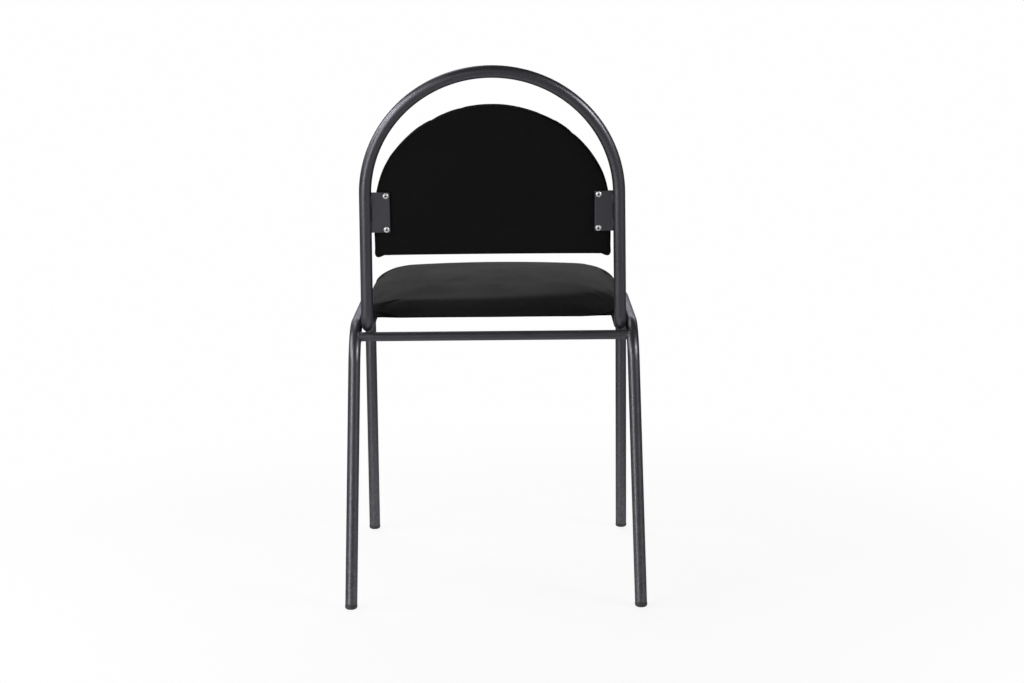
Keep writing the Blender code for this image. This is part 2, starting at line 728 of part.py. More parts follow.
def add_seat(arch_clearance, rail_end):
    middle = SEAT_FORWARD + (SEAT_DEPTH + SEAT_REAR_BOW - SEAT_FRONT_BOW) / 2
    place = Matrix.Translation(spot(0, middle, SEAT_BASE))
    shoulder = (SEAT_SHOULDER_REACH, SEAT_SHOULDER_RISE, SEAT_SHOULDER_STEPS)
    profile = cushion_profile(SEAT_LIP, SEAT_ROLL, SEAT_BOARD_TOP + SEAT_FOAM_EDGE, *shoulder)
    add_cover("seat_cover", cushion_rings(seat_outline, profile, SEAT_CROWN), LEATHERETTE, place)
    add_foam("seat_foam", seat_outline, profile, SEAT_CROWN, SEAT_BOARD_TOP, place)
    lining_mesh = flat(seat_outline(SEAT_ROLL + SEAT_LIP + FIT_GAP), COVER_THICKNESS)
    lining = add_part("seat_dust_cover", lining_mesh, LINING, place)
    board_mesh = flat(seat_outline(SEAT_ROLL + BOARD_MARGIN), SEAT_BOARD)
    board = add_part("seat_board", board_mesh, PLYWOOD, place @ Matrix.Translation((0, 0, BOARD_LIFT)))
    ends = {"rear": SEAT_FORWARD + REAR_PLATE_INSET, "front": rail_end - FRONT_PLATE_INSET}
    for end, forward in ends.items():
        for name, side in SIDES.items():
            add_seat_plate(f"{end}_{name}", forward, side, board, lining, arch_clearance)


def add_seat_plate(label, forward, side, board, lining, arch_clearance):
    """A plate welded inside an arch rail, and the screw, washer and nut that hold the seat to it."""
    screw_x = seat_half() - SEAT_NUT_EDGE
    ends = sorted((side * (screw_x - SEAT_SCREW_EDGE), side * arch_rail_x(forward)))
    half = SEAT_PLATE_LENGTH / 2
    plate_base = SEAT_BASE - FIT_GAP - PLATE_THICKNESS
    washer_base = plate_base - FIT_GAP - WASHER_THICKNESS
    head_base = washer_base - FIT_GAP
    board_top = SEAT_BASE + SEAT_BOARD_TOP
    outline = plate_outline(*ends, -half, half)
    place = Matrix.Translation(spot(0, forward, plate_base))
    plate = add_part("seat_bracket_" + label, flat(outline, PLATE_THICKNESS), PAINT, place)
    cut(plate, arch_clearance)
    x = side * screw_x
    head = Matrix.Translation(spot(x, forward, head_base)) @ Matrix.Rotation(math.pi, 4, "X")
    add_screw("seat_screw_" + label, board_top - SCREW_END_MARGIN - head_base, head)
    bore = clear_radius(SCREW_RADIUS, FASTENER_STEPS)
    washer = Matrix.Translation(spot(x, forward, washer_base))
    add_ring("seat_washer_" + label, WASHER_DIAMETER / 2, bore, WASHER_THICKNESS, washer)
    in_plate = Matrix.Translation(spot(x, forward, plate_base))
    screw_hole(plate, "seat_plate_hole_" + label, PLATE_THICKNESS, in_plate)
    in_lining = Matrix.Translation(spot(x, forward, SEAT_BASE))
    screw_hole(lining, "seat_lining_hole_" + label, COVER_THICKNESS, in_lining)
    add_tee_nut("seat_tee_nut_" + label, board, SEAT_BOARD, Matrix.Translation(spot(x, forward, board_top)))


def main():
    frame = Matrix.Translation(spot(0, ARCH_FORWARD, RAIL_HEIGHT))
    frame = frame @ Matrix.Rotation(math.pi / 2 - ARCH_LEAN, 4, "X")
    frame_empty = bpy.data.objects.new("back_frame", None)
    frame_empty.matrix_basis = frame
    PARTS.objects.link(frame_empty)
    middles = add_leg_frames()
    front_bar_forward = MIDDLE - middles["front"][0].y
    arch_clearance, rail_end = add_arch(frame, front_bar_forward)
    add_back(frame_empty, arch_clearance)
    add_seat(arch_clearance, rail_end)


main()
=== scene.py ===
import math

import bpy
import numpy as np
from mathutils import Matrix, Vector


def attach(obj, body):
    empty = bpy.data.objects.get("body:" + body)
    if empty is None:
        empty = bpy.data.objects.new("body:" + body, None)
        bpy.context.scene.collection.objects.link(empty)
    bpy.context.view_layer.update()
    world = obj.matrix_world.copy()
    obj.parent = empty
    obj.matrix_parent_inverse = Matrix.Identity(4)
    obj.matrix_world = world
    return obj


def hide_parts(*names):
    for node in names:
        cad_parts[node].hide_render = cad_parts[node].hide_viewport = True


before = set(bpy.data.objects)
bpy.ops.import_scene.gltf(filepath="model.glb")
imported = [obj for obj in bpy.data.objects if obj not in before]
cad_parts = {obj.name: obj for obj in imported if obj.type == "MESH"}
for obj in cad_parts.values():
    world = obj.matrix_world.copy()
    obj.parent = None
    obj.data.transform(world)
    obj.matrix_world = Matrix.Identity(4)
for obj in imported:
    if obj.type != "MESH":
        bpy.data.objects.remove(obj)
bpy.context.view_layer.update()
scene = bpy.context.scene
print("frame loaded,", len(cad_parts), "CAD nodes")

# the steel frame's centre lines, in metres: forward is measured from the rear feet
steel = {
    "middle": 0.2407708,  # rear feet to the origin
    "tubeRadius": 0.009,
    "tubeWall": 0.0015,
    "barRadius": 0.007,
    "barWall": 0.0012,
    "rearFoot": 0.216,
    "frontFoot": 0.211,
    "rearRail": 0.20725,
    "frontRail": 0.20925,
    "footBase": 0.440,
    "railHeight": 0.410,
    "rearRake": 0.076,
    "frontRake": 0.016,
    "legBend": 0.063,
    "footHead": 0.006,
    "footLip": 0.0003,
    "fit": 0.0003,
    "archForward": 0.082,
    "archRadius": 0.1848,
    "archLean": math.radians(11.5),
    "archTop": 0.800,
    "archBend": 0.026,
    "railOverhang": 0.015,
}


def spot(x, forward, height):
    return Vector((x, steel["middle"] - forward, height))


archFrame = Matrix.Translation(spot(0, steel["archForward"], steel["railHeight"]))
archFrame = archFrame @ Matrix.Rotation(math.pi / 2 - steel["archLean"], 4, "X")
sides = {"Left": 1, "Right": -1}


# shader tools


def putIn(tree, socket, value):
    if isinstance(value, bpy.types.NodeSocket):
        tree.links.new(value, socket)
    else:
        socket.default_value = value


def addNode(tree, kind, values=None, **settings):
    node = tree.nodes.new("ShaderNode" + kind)
    for key, value in settings.items():
        setattr(node, key, value)
    for key, value in (values or {}).items():
        putIn(tree, node.inputs[key], value)
    return node


def calc(tree, operation, first, second=0.0, third=0.0):
    node = addNode(tree, "Math", {0: first, 1: second, 2: third}, operation=operation)
    return node.outputs[0]


def remap(tree, value, low, high, start=0.0, end=1.0):
    values = {"Value": value, "From Min": low, "From Max": high, "To Min": start, "To Max": end}
    return addNode(tree, "MapRange", values, interpolation_type="SMOOTHSTEP").outputs[0]


def noiseAt(tree, vector, scale, detail):
    return addNode(tree, "TexNoise", {"Vector": vector, "Scale": scale, "Detail": detail}).outputs["Fac"]


def blendColour(tree, share, first, second):
    node = addNode(tree, "Mix", data_type="RGBA")
    sockets = {socket.identifier: socket for socket in node.inputs}
    for key, value in (("Factor_Float", share), ("A_Color", first), ("B_Color", second)):
        putIn(tree, sockets[key], value)
    return next(socket for socket in node.outputs if socket.identifier == "Result_Color")


def newGroup(name, inputs, outputs):
    tree = bpy.data.node_groups.new(name, "ShaderNodeTree")
    for label, kind, value in inputs:
        socket = tree.interface.new_socket(label, in_out="INPUT", socket_type="NodeSocket" + kind)
        if value is not None:
            socket.default_value = value
    for label in outputs:
        tree.interface.new_socket(label, in_out="OUTPUT", socket_type="NodeSocketFloat")
    return tree, tree.nodes.new("NodeGroupInput").outputs, tree.nodes.new("NodeGroupOutput").inputs


def useGroup(tree, group, values):
    node = tree.nodes.new("ShaderNodeGroup")
    node.node_tree = group
    for key, value in values.items():
        putIn(tree, node.inputs[key], value)
    return node.outputs


def newFinish(name, fixed):
    material = bpy.data.materials.new(name)
    material.use_nodes = True
    tree = material.node_tree
    surface = tree.nodes["Principled BSDF"]
    for key, value in fixed.items():
        surface.inputs[key].default_value = value
    place = addNode(tree, "TexCoord").outputs["Object"]
    return material, tree, surface, place


def feed(tree, surface, colour, roughness, height, depth, strength):
    tree.links.new(colour, surface.inputs["Base Color"])
    tree.links.new(roughness, surface.inputs["Roughness"])
    bump = addNode(tree, "Bump", {"Height": height, "Distance": depth, "Strength": strength})
    tree.links.new(bump.outputs["Normal"], surface.inputs["Normal"])


# shared effects: scales are per metre, spans are where an effect starts and ends
pebbles = {"waver": 90.0, "shift": 0.0016, "edge": 0.32, "broad": 14.0}


def makeGrainGroup():
    inputs = [("Vector", "Vector", None), ("Scale", "Float", 800.0), ("Wander", "Float", 0.35)]
    tree, given, put = newGroup("pebbleGrain", inputs, ["Height", "Tone"])
    values = {"Vector": given["Vector"], "Scale": pebbles["waver"], "Detail": 2.0}
    waver = addNode(tree, "TexNoise", values).outputs["Color"]
    shift = addNode(tree, "VectorMath", {0: waver, 1: [pebbles["shift"]] * 3}, operation="MULTIPLY")
    moved = addNode(tree, "VectorMath", {0: given["Vector"], 1: shift.outputs[0]}, operation="ADD").outputs[0]
    values = {"Vector": moved, "Scale": given["Scale"]}
    cells = addNode(tree, "TexVoronoi", values, feature="DISTANCE_TO_EDGE")
    pebble = remap(tree, cells.outputs["Distance"], 0.0, pebbles["edge"])
    lift = calc(tree, "MULTIPLY", noiseAt(tree, moved, given["Scale"], 3.0), given["Wander"])
    tree.links.new(calc(tree, "ADD", pebble, lift), put["Height"])
    tree.links.new(noiseAt(tree, given["Vector"], pebbles["broad"], 4.0), put["Tone"])
    return tree


threads = {"waver": 260.0, "drift": 1.1, "facing": 4.0, "fuzz": 2600.0, "fuzzShare": 0.3, "tone": (0.6, 0.55)}


def makeWeaveGroup():
    # plain weave on whichever of three planes the surface faces
    inputs = [("Vector", "Vector", None), ("Threads", "Float", 900.0), ("Tilt", "Float", 0.0)]
    tree, given, put = newGroup("threadWeave", inputs, ["Height", "Tone"])
    facing = addNode(tree, "NewGeometry").outputs["Normal"]
    turned = []
    for vector in (given["Vector"], facing):
        values = {"Vector": vector, "Axis": (1.0, 0.0, 0.0), "Angle": given["Tilt"]}
        spun = addNode(tree, "VectorRotate", values, rotation_type="AXIS_ANGLE")
        turned.append(addNode(tree, "SeparateXYZ", {0: spun.outputs[0]}).outputs)
    axes, normal = turned
    waver = noiseAt(tree, given["Vector"], threads["waver"], 2.0)
    drift = calc(tree, "MULTIPLY", waver, threads["drift"])
    phase = []
    for axis in range(3):
        run = calc(tree, "MULTIPLY", axes[axis], given["Threads"])
        phase.append(calc(tree, "MULTIPLY_ADD", run, math.pi, drift))
    total = 0.0
    for across, along, away in ((0, 1, 2), (0, 2, 1), (1, 2, 0)):
        warp = calc(tree, "ABSOLUTE", calc(tree, "SINE", phase[across]))
        weft = calc(tree, "ABSOLUTE", calc(tree, "SINE", phase[along]))
        turns = [calc(tree, "COSINE", phase[axis]) for axis in (across, along)]
        over = calc(tree, "MULTIPLY_ADD", calc(tree, "MULTIPLY", *turns), 0.5, 0.5)
        rise = calc(tree, "MULTIPLY_ADD", calc(tree, "SUBTRACT", warp, weft), over, weft)
        weight = calc(tree, "POWER", calc(tree, "ABSOLUTE", normal[away]), threads["facing"])
        total = calc(tree, "MULTIPLY_ADD", rise, weight, total)
    fuzz = noiseAt(tree, given["Vector"], threads["fuzz"], 2.0)
    tree.links.new(calc(tree, "MULTIPLY_ADD", fuzz, threads["fuzzShare"], total), put["Height"])
    tree.links.new(calc(tree, "MULTIPLY_ADD", total, *threads["tone"]), put["Tone"])
    return tree


flakes = {"sparkle": (0.5, 0.75), "patch": 30.0}


def makeFlakeGroup():
    inputs = [("Vector", "Vector", None), ("Peel", "Float", 420.0), ("Flake", "Float", 5200.0)]
    tree, given, put = newGroup("paintSkin", inputs, ["Height", "Sparkle", "Patch"])
    tree.links.new(noiseAt(tree, given["Vector"], given["Peel"], 2.0), put["Height"])
    chips = addNode(tree, "TexVoronoi", {"Vector": given["Vector"], "Scale": given["Flake"]})
    split = addNode(tree, "SeparateColor", {"Color": chips.outputs["Color"]})
    tree.links.new(calc(tree, "MULTIPLY_ADD", split.outputs[0], *flakes["sparkle"]), put["Sparkle"])
    tree.links.new(noiseAt(tree, given["Vector"], flakes["patch"], 5.0), put["Patch"])
    return tree


rubbing = {"noise": 240.0, "broken": (0.42, 0.62)}


def makeWearGroup():
    inputs = [("Vector", "Vector", None), ("Start", "Float", 0.54), ("End", "Float", 0.68)]
    tree, given, put = newGroup("rubbedEdges", inputs, ["Mask"])
    edge = addNode(tree, "NewGeometry").outputs["Pointiness"]
    values = {"Value": edge, "From Min": given["Start"], "From Max": given["End"]}
    rubbed = addNode(tree, "MapRange", values).outputs[0]
    broken = remap(tree, noiseAt(tree, given["Vector"], rubbing["noise"], 4.0), *rubbing["broken"])
    tree.links.new(calc(tree, "MULTIPLY", rubbed, broken), put["Mask"])
    return tree


settling = {
    "upward": (0.25, 1.0),
    "patch": 45.0,
    "patchSpan": (0.3, 0.75),
    "speck": 1700.0,
    "speckSpan": (0.35, 0.7),
}


def makeDustGroup():
    inputs = [("Vector", "Vector", None), ("Amount", "Float", 0.2)]
    tree, given, put = newGroup("settledDust", inputs, ["Mask"])
    normal = addNode(tree, "NewGeometry").outputs["Normal"]
    upward = remap(tree, addNode(tree, "SeparateXYZ", {0: normal}).outputs["Z"], *settling["upward"])
    patchy = remap(tree, noiseAt(tree, given["Vector"], settling["patch"], 6.0), *settling["patchSpan"])
    specks = remap(tree, noiseAt(tree, given["Vector"], settling["speck"], 2.0), *settling["speckSpan"])
    grainy = calc(tree, "MULTIPLY", calc(tree, "MULTIPLY", upward, patchy), specks)
    tree.links.new(calc(tree, "MULTIPLY", grainy, given["Amount"]), put["Mask"])
    return tree


closeness = {"samples": 8, "span": (0.08, 0.5)}


# painted shade: the colour darkens where ambient occlusion finds nearby surfaces, standing in for the shade
# in crevices
def makePaintedShadeGroup():
    inputs = [("Reach", "Float", 0.010), ("Amount", "Float", 0.8)]
    tree, given, put = newGroup("paintedCreviceShade", inputs, ["Mask"])
    around = addNode(tree, "AmbientOcclusion", {"Distance": given["Reach"]}, samples=closeness["samples"])
    closed = remap(tree, around.outputs["AO"], *closeness["span"], 1.0, 0.0)
    tree.links.new(calc(tree, "MULTIPLY", closed, given["Amount"]), put["Mask"])
    return tree


grainGroup = makeGrainGroup()
weaveGroup = makeWeaveGroup()
flakeGroup = makeFlakeGroup()
wearGroup = makeWearGroup()
dustGroup = makeDustGroup()
paintedShadeGroup = makePaintedShadeGroup()

# finishes: a bump is its depth and its strength
dustColour = (0.16, 0.155, 0.15, 1.0)
noiseSpan = (0.3, 0.7)
graphitePaint = {
    "colour": (0.119, 0.116, 0.131, 1.0),
    "light": (0.15, 0.147, 0.164, 1.0),
    "rubbed": (0.22, 0.22, 0.23, 1.0),
    # the painted shade's colour for crevices
    "paintedShadeColour": (0.008, 0.008, 0.009, 1.0),
    "edge": (0.4, 0.4, 0.42, 1.0),
    "metallic": 0.9,
    "specular": 0.3,
    "roughness": (0.34, 0.42),
    "sparkle": (0.75, 1.25),
    "fleck": 0.35,
    "dust": 0.12,
    "dustRoughness": 0.5,
    "paintedShadeReach": 0.010,
    "paintedShadeShare": 0.55,
    "bump": (0.0003, 0.12),
}


def makePaint():
    look = graphitePaint
    fixed = {
        "Metallic": look["metallic"],
        "Specular IOR Level": look["specular"],
        "Specular Tint": look["edge"],
    }
    material, tree, surface, place = newFinish("graphitePaint", fixed)
    skin = useGroup(tree, flakeGroup, {"Vector": place})
    wear = useGroup(tree, wearGroup, {"Vector": place})
    dust = useGroup(tree, dustGroup, {"Vector": place, "Amount": look["dust"]})
    flecked = remap(tree, skin["Sparkle"], *look["sparkle"])
    colour = blendColour(tree, calc(tree, "MULTIPLY", flecked, look["fleck"]), look["colour"], look["light"])
    colour = blendColour(tree, wear["Mask"], colour, look["rubbed"])
    colour = blendColour(tree, dust["Mask"], colour, dustColour)
    # painted shade in the crevices between tubes, plates and bars, mixed into the paint's colour
    paintedShadeMask = useGroup(tree, paintedShadeGroup, {"Reach": look["paintedShadeReach"], "Amount": look["paintedShadeShare"]})
    colour = blendColour(tree, paintedShadeMask["Mask"], colour, look["paintedShadeColour"])
    rough = remap(tree, skin["Patch"], *noiseSpan, *look["roughness"])
    rough = calc(tree, "ADD", rough, calc(tree, "MULTIPLY", dust["Mask"], look["dustRoughness"]))
    feed(tree, surface, colour, rough, skin["Height"], *look["bump"])
    return material


backFabric = {
    "dark": (0.0052, 0.0052, 0.0054, 1.0),
    "light": (0.0106, 0.0106, 0.0109, 1.0),
    "specular": 0.06,
    "roughness": (0.78, 0.92),
    "tone": (0.55, 1.15),
    "threads": 780.0,
    "grain": 300.0,
    "dust": 0.012,
    "bump": (0.0005, 0.6),
}


def makeFabric():
    look = backFabric
    material, tree, surface, place = newFinish("blackFabric", {"Specular IOR Level": look["specular"]})
    tilt = steel["archLean"] - math.pi / 2
    weave = useGroup(tree, weaveGroup, {"Vector": place, "Threads": look["threads"], "Tilt": tilt})
    dust = useGroup(tree, dustGroup, {"Vector": place, "Amount": look["dust"]})
    grain = useGroup(tree, grainGroup, {"Vector": place, "Scale": look["grain"]})
    tone = remap(tree, weave["Tone"], *look["tone"])
    colour = blendColour(tree, tone, look["dark"], look["light"])
    colour = blendColour(tree, dust["Mask"], colour, dustColour)
    rough = remap(tree, grain["Tone"], *noiseSpan, *look["roughness"])
    feed(tree, surface, colour, rough, weave["Height"], *look["bump"])
    return material


seatLeatherette = {
    "dark": (0.0075, 0.0075, 0.0077, 1.0),
    "light": (0.0145, 0.0145, 0.0148, 1.0),
    "specular": 0.11,
    "roughness": (0.86, 0.94),
    "tone": (0.2, 1.2),
    "grain": 820.0,
    "dust": 0.02,
    "bump": (0.00028, 0.35),
}


def makeLeatherette():
    look = seatLeatherette
    material, tree, surface, place = newFinish("blackLeatherette", {"Specular IOR Level": look["specular"]})
    grain = useGroup(tree, grainGroup, {"Vector": place, "Scale": look["grain"]})
    dust = useGroup(tree, dustGroup, {"Vector": place, "Amount": look["dust"]})
    tone = remap(tree, grain["Height"], *look["tone"])
    colour = blendColour(tree, tone, look["dark"], look["light"])
    colour = blendColour(tree, dust["Mask"], colour, dustColour)
    rough = remap(tree, grain["Tone"], *noiseSpan, *look["roughness"])
    feed(tree, surface, colour, rough, grain["Height"], *look["bump"])
    return material


footPlastic = {
    "colour": (0.045, 0.043, 0.043, 1.0),
    "scuffed": (0.12, 0.115, 0.11, 1.0),
    "specular": 0.5,
    "roughness": (0.38, 0.55),
    "grain": 2100.0,
    "wander": 0.6,
    "wear": (0.52, 0.62),
    "dust": 0.2,
    "bump": (0.00006, 0.3),
}


def makePlastic():
    look = footPlastic
    material, tree, surface, place = newFinish("mouldedPlastic", {"Specular IOR Level": look["specular"]})
    grain = useGroup(tree, grainGroup, {"Vector": place, "Scale": look["grain"], "Wander": look["wander"]})
    wear = useGroup(tree, wearGroup, {"Vector": place, "Start": look["wear"][0], "End": look["wear"][1]})
    dust = useGroup(tree, dustGroup, {"Vector": place, "Amount": look["dust"]})
    colour = blendColour(tree, wear["Mask"], look["colour"], look["scuffed"])
    colour = blendColour(tree, dust["Mask"], colour, dustColour)
    rough = remap(tree, grain["Tone"], *noiseSpan, *look["roughness"])
    feed(tree, surface, colour, rough, grain["Height"], *look["bump"])
    return material


zincPlate = {
    "colour": (0.86, 0.86, 0.87, 1.0),
    "dull": (0.72, 0.72, 0.73, 1.0),
    "bright": (0.9, 0.9, 0.9, 1.0),
    "metallic": 0.45,
    "roughness": (0.34, 0.46),
    "dulling": (0.4, 0.7),
    "peel": 1400.0,
    "flake": 9000.0,
    "bump": (0.0001, 0.15),
}


def makeZinc():
    look = zincPlate
    material, tree, surface, place = newFinish("zincPlate", {"Metallic": look["metallic"]})
    skin = useGroup(tree, flakeGroup, {"Vector": place, "Peel": look["peel"], "Flake": look["flake"]})
    wear = useGroup(tree, wearGroup, {"Vector": place})
    colour = blendColour(tree, remap(tree, skin["Patch"], *look["dulling"]), look["colour"], look["dull"])
    colour = blendColour(tree, wear["Mask"], colour, look["bright"])
    rough = remap(tree, skin["Patch"], *noiseSpan, *look["roughness"])
    feed(tree, surface, colour, rough, skin["Height"], *look["bump"])
    return material


# painted shade: a dark finish on the hexagon socket's faces, standing in for the shade deep inside the socket
paintedSocketShade = {
    "colour": (0.06, 0.06, 0.06, 1.0),
    "deeperShade": (0.025, 0.025, 0.025, 1.0),
    "metallic": 0.6,
    "roughness": (0.5, 0.75),
    "deeperShadeSpan": (0.35, 0.65),
    "peel": 2600.0,
    "flake": 9000.0,
    "bump": (0.0001, 0.3),
}


def makeSocketShade():
    look = paintedSocketShade
    material, tree, surface, place = newFinish("paintedSocketShade", {"Metallic": look["metallic"]})
    skin = useGroup(tree, flakeGroup, {"Vector": place, "Peel": look["peel"], "Flake": look["flake"]})
    colour = blendColour(tree, remap(tree, skin["Patch"], *look["deeperShadeSpan"]), look["colour"], look["deeperShade"])
    rough = remap(tree, skin["Height"], *noiseSpan, *look["roughness"])
    feed(tree, surface, colour, rough, skin["Height"], *look["bump"])
    return material


seatLining = {
    "dark": (0.012, 0.012, 0.0125, 1.0),
    "light": (0.030, 0.030, 0.031, 1.0),
    "specular": 0.2,
    "roughness": (0.75, 0.95),
    "tone": (0.5, 1.2),
    "threads": 520.0,
    "grain": 520.0,
    "wander": 0.9,
    "grainShare": 0.7,
    "bump": (0.0002, 0.5),
}


def makeLining():
    look = seatLining
    material, tree, surface, place = newFinish("blackLining", {"Specular IOR Level": look["specular"]})
    weave = useGroup(tree, weaveGroup, {"Vector": place, "Threads": look["threads"]})
    grain = useGroup(tree, grainGroup, {"Vector": place, "Scale": look["grain"], "Wander": look["wander"]})
    colour = blendColour(tree, remap(tree, weave["Tone"], *look["tone"]), look["dark"], look["light"])
    rough = remap(tree, grain["Tone"], *noiseSpan, *look["roughness"])
    mixed = calc(tree, "MULTIPLY_ADD", grain["Height"], look["grainShare"], weave["Height"])
    feed(tree, surface, colour, rough, mixed, *look["bump"])
    return material


birchPly = {
    "pale": (0.56, 0.40, 0.24, 1.0),
    "brown": (0.36, 0.23, 0.12, 1.0),
    "specular": 0.3,
    "roughness": (0.55, 0.75),
    "stretch": (6.0, 90.0, 90.0),
    "figure": 3.0,
    "figureShare": 0.6,
    "plies": 900.0,
    "plyEdge": 0.4,
    "plyShare": 0.35,
    "bump": (0.0003, 0.3),
}


def makePlywood():
    look = birchPly
    material, tree, surface, place = newFinish("birchPly", {"Specular IOR Level": look["specular"]})
    stretched = addNode(tree, "Mapping", {"Vector": place, "Scale": look["stretch"]})
    figure = noiseAt(tree, stretched.outputs[0], look["figure"], 8.0)
    height = addNode(tree, "SeparateXYZ", {0: place}).outputs["Z"]
    layers = calc(tree, "SINE", calc(tree, "MULTIPLY", height, look["plies"] * math.pi))
    share = calc(tree, "MULTIPLY", remap(tree, layers, -look["plyEdge"], look["plyEdge"]), look["plyShare"])
    share = calc(tree, "MULTIPLY_ADD", figure, look["figureShare"], share)
    colour = blendColour(tree, share, look["pale"], look["brown"])
    rough = remap(tree, figure, *noiseSpan, *look["roughness"])
    feed(tree, surface, colour, rough, figure, *look["bump"])
    return material


paint = makePaint()
fabric = makeFabric()
leatherette = makeLeatherette()
plastic = makePlastic()
zinc = makeZinc()
socketShade = makeSocketShade()
lining = makeLining()
plywood = makePlywood()
print("finishes ready")


# mesh tools: a shape is a list of points and a list of faces


def newShape():
    return {"points": [], "faces": []}


def addRing(shape, points):
    start = len(shape["points"])
    shape["points"] += [tuple(point) for point in points]
    return list(range(start, len(shape["points"])))


def bridge(shape, lower, upper):
    for i, here in enumerate(lower):
        after = (i + 1) % len(lower)
        shape["faces"].append((here, lower[after], upper[after], upper[i]))


def stack(shape, rows, closed=False):
    # each row bridged to the next one, and the last to the first where it is closed
    for lower, upper in zip(rows, rows[1:] + (rows[:1] if closed else [])):
        bridge(shape, lower, upper)


def closeTip(shape, ring, tip, flip=False):
    point = addRing(shape, [tip])[0]
    for i, here in enumerate(ring):
        after = ring[(i + 1) % len(ring)]
        shape["faces"].append((after, here, point) if flip else (here, after, point))


def addPiece(name, shape, material, replaced=(), sharpAngle=35):
    mesh = bpy.data.meshes.new(name)
    mesh.from_pydata(shape["points"], [], shape["faces"])
    mesh.materials.append(material)
    if "second" in shape:
        mesh.materials.append(shape["second"])
        for number in range(shape["secondStart"], len(shape["faces"])):
            mesh.polygons[number].material_index = 1
    mesh.shade_smooth()
    if sharpAngle:
        mesh.set_sharp_from_angle(angle=math.radians(sharpAngle))
    piece = bpy.data.objects.new(name, mesh)
    scene.collection.objects.link(piece)
    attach(piece, "root")
    if replaced:
        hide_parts(*replaced)
    return piece


def pathFrames(path):
    # a normal and a binormal at each point, carried along without twist
    steps = [(after - here).normalized() for here, after in zip(path, path[1:])]
    along = [steps[0]] + [(a + b).normalized() for a, b in zip(steps, steps[1:])] + [steps[-1]]
    normal = along[0].orthogonal().normalized()
    frames = []
    for number, tangent in enumerate(along):
        if number:
            normal = along[number - 1].rotation_difference(tangent) @ normal
        normal = (normal - tangent * normal.dot(tangent)).normalized()
        frames.append((normal, tangent.cross(normal)))
    return frames


def circle(count):
    return [2 * math.pi * i / count for i in range(count)]


def crossRings(path, radii, count):
    angles = circle(count)
    rings = []
    for point, radius, (normal, binormal) in zip(path, radii, pathFrames(path)):
        rings.append([point + (normal * math.cos(a) + binormal * math.sin(a)) * radius for a in angles])
    return rings


def tubeShape(path, outer, wall, count):
    shape = newShape()
    rings = crossRings(path, [outer] * len(path), count)
    rings += crossRings(path, [outer - wall] * len(path), count)[::-1]
    stack(shape, [addRing(shape, ring) for ring in rings], closed=True)
    return shape


def turnedRing(shape, radius, height, count, place):
    points = [Vector((radius * math.cos(a), radius * math.sin(a), height)) for a in circle(count)]
    return addRing(shape, [place @ point for point in points])


def lathe(shape, profile, count, place):
    # profile runs from the axis out and back to the axis, as (radius, height)
    rows = [turnedRing(shape, radius, height, count, place) for radius, height in profile[1:-1]]
    stack(shape, rows)
    closeTip(shape, rows[0], place @ Vector((0, 0, profile[0][1])), flip=True)
    closeTip(shape, rows[-1], place @ Vector((0, 0, profile[-1][1])))


# tubes


def bendPoints(before, corner, after, radius, count):
    back = (before - corner).normalized()
    onward = (after - corner).normalized()
    half = back.angle(onward) / 2
    centre = corner + (back + onward).normalized() * radius / math.sin(half)
    arm = corner + back * radius / math.tan(half) - centre
    turn = math.pi - 2 * half
    axis = onward.cross(back)
    return [centre + Matrix.Rotation(turn * i / count, 3, axis) @ arm for i in range(count + 1)]


tubeMesh = {
    "sides": 40,
    "bendSteps": 26,
    "archSteps": 110,
    "barSteps": 12,
    "saddleFrom": 0.15,  # where the search for a bar's end starts
    "halvings": 26,
}


def legCorners(side):
    return [
        spot(side * steel["rearFoot"], 0, 0),
        spot(side * steel["rearRail"], steel["rearRake"], steel["railHeight"]),
        spot(side * steel["frontRail"], steel["footBase"] - steel["frontRake"], steel["railHeight"]),
        spot(side * steel["frontFoot"], steel["footBase"], 0),
    ]


def footEnd(floorPoint, top):
    along = (top - floorPoint).normalized()
    return floorPoint + along * (steel["footHead"] + steel["fit"])


def legPath(side):
    a, b, c, d = legCorners(side)
    steps = tubeMesh["bendSteps"]
    return [
        footEnd(a, b),
        *bendPoints(a, b, c, steel["legBend"], steps),
        *bendPoints(b, c, d, steel["legBend"], steps),
        footEnd(d, c),
    ]


def bendMiddle(side, front):
    corners = legCorners(side)
    return bendPoints(*corners[front : front + 3], steel["legBend"], 2)[1]


def archRailX(forward):
    run = steel["footBase"] - steel["frontRake"] - steel["rearRake"]
    flare = (steel["frontRail"] - steel["rearRail"]) * (forward - steel["rearRake"]) / run
    return steel["rearRail"] + flare - 2 * steel["tubeRadius"] - steel["fit"]


def archTouch():
    foot = Vector((archRailX(steel["archForward"]), 0))
    rise = steel["archTop"] - steel["tubeRadius"] - steel["railHeight"]
    centre = Vector((0, rise / math.cos(steel["archLean"]) - steel["archRadius"]))
    reach = (centre - foot).length
    heading = math.atan2(centre.y, -foot.x) - math.asin(steel["archRadius"] / reach)
    length = math.sqrt(reach**2 - steel["archRadius"] ** 2)
    return foot + Vector((math.cos(heading), math.sin(heading))) * length, centre


archSide, archCentre = archTouch()


def archSideX(rise):
    if rise > archSide.y:
        return math.sqrt(steel["archRadius"] ** 2 - (rise - archCentre.y) ** 2)
    foot = archRailX(steel["archForward"])
    return foot + (archSide.x - foot) * rise / archSide.y


railEnd = steel["middle"] - bendMiddle(1, 1).y + steel["railOverhang"]


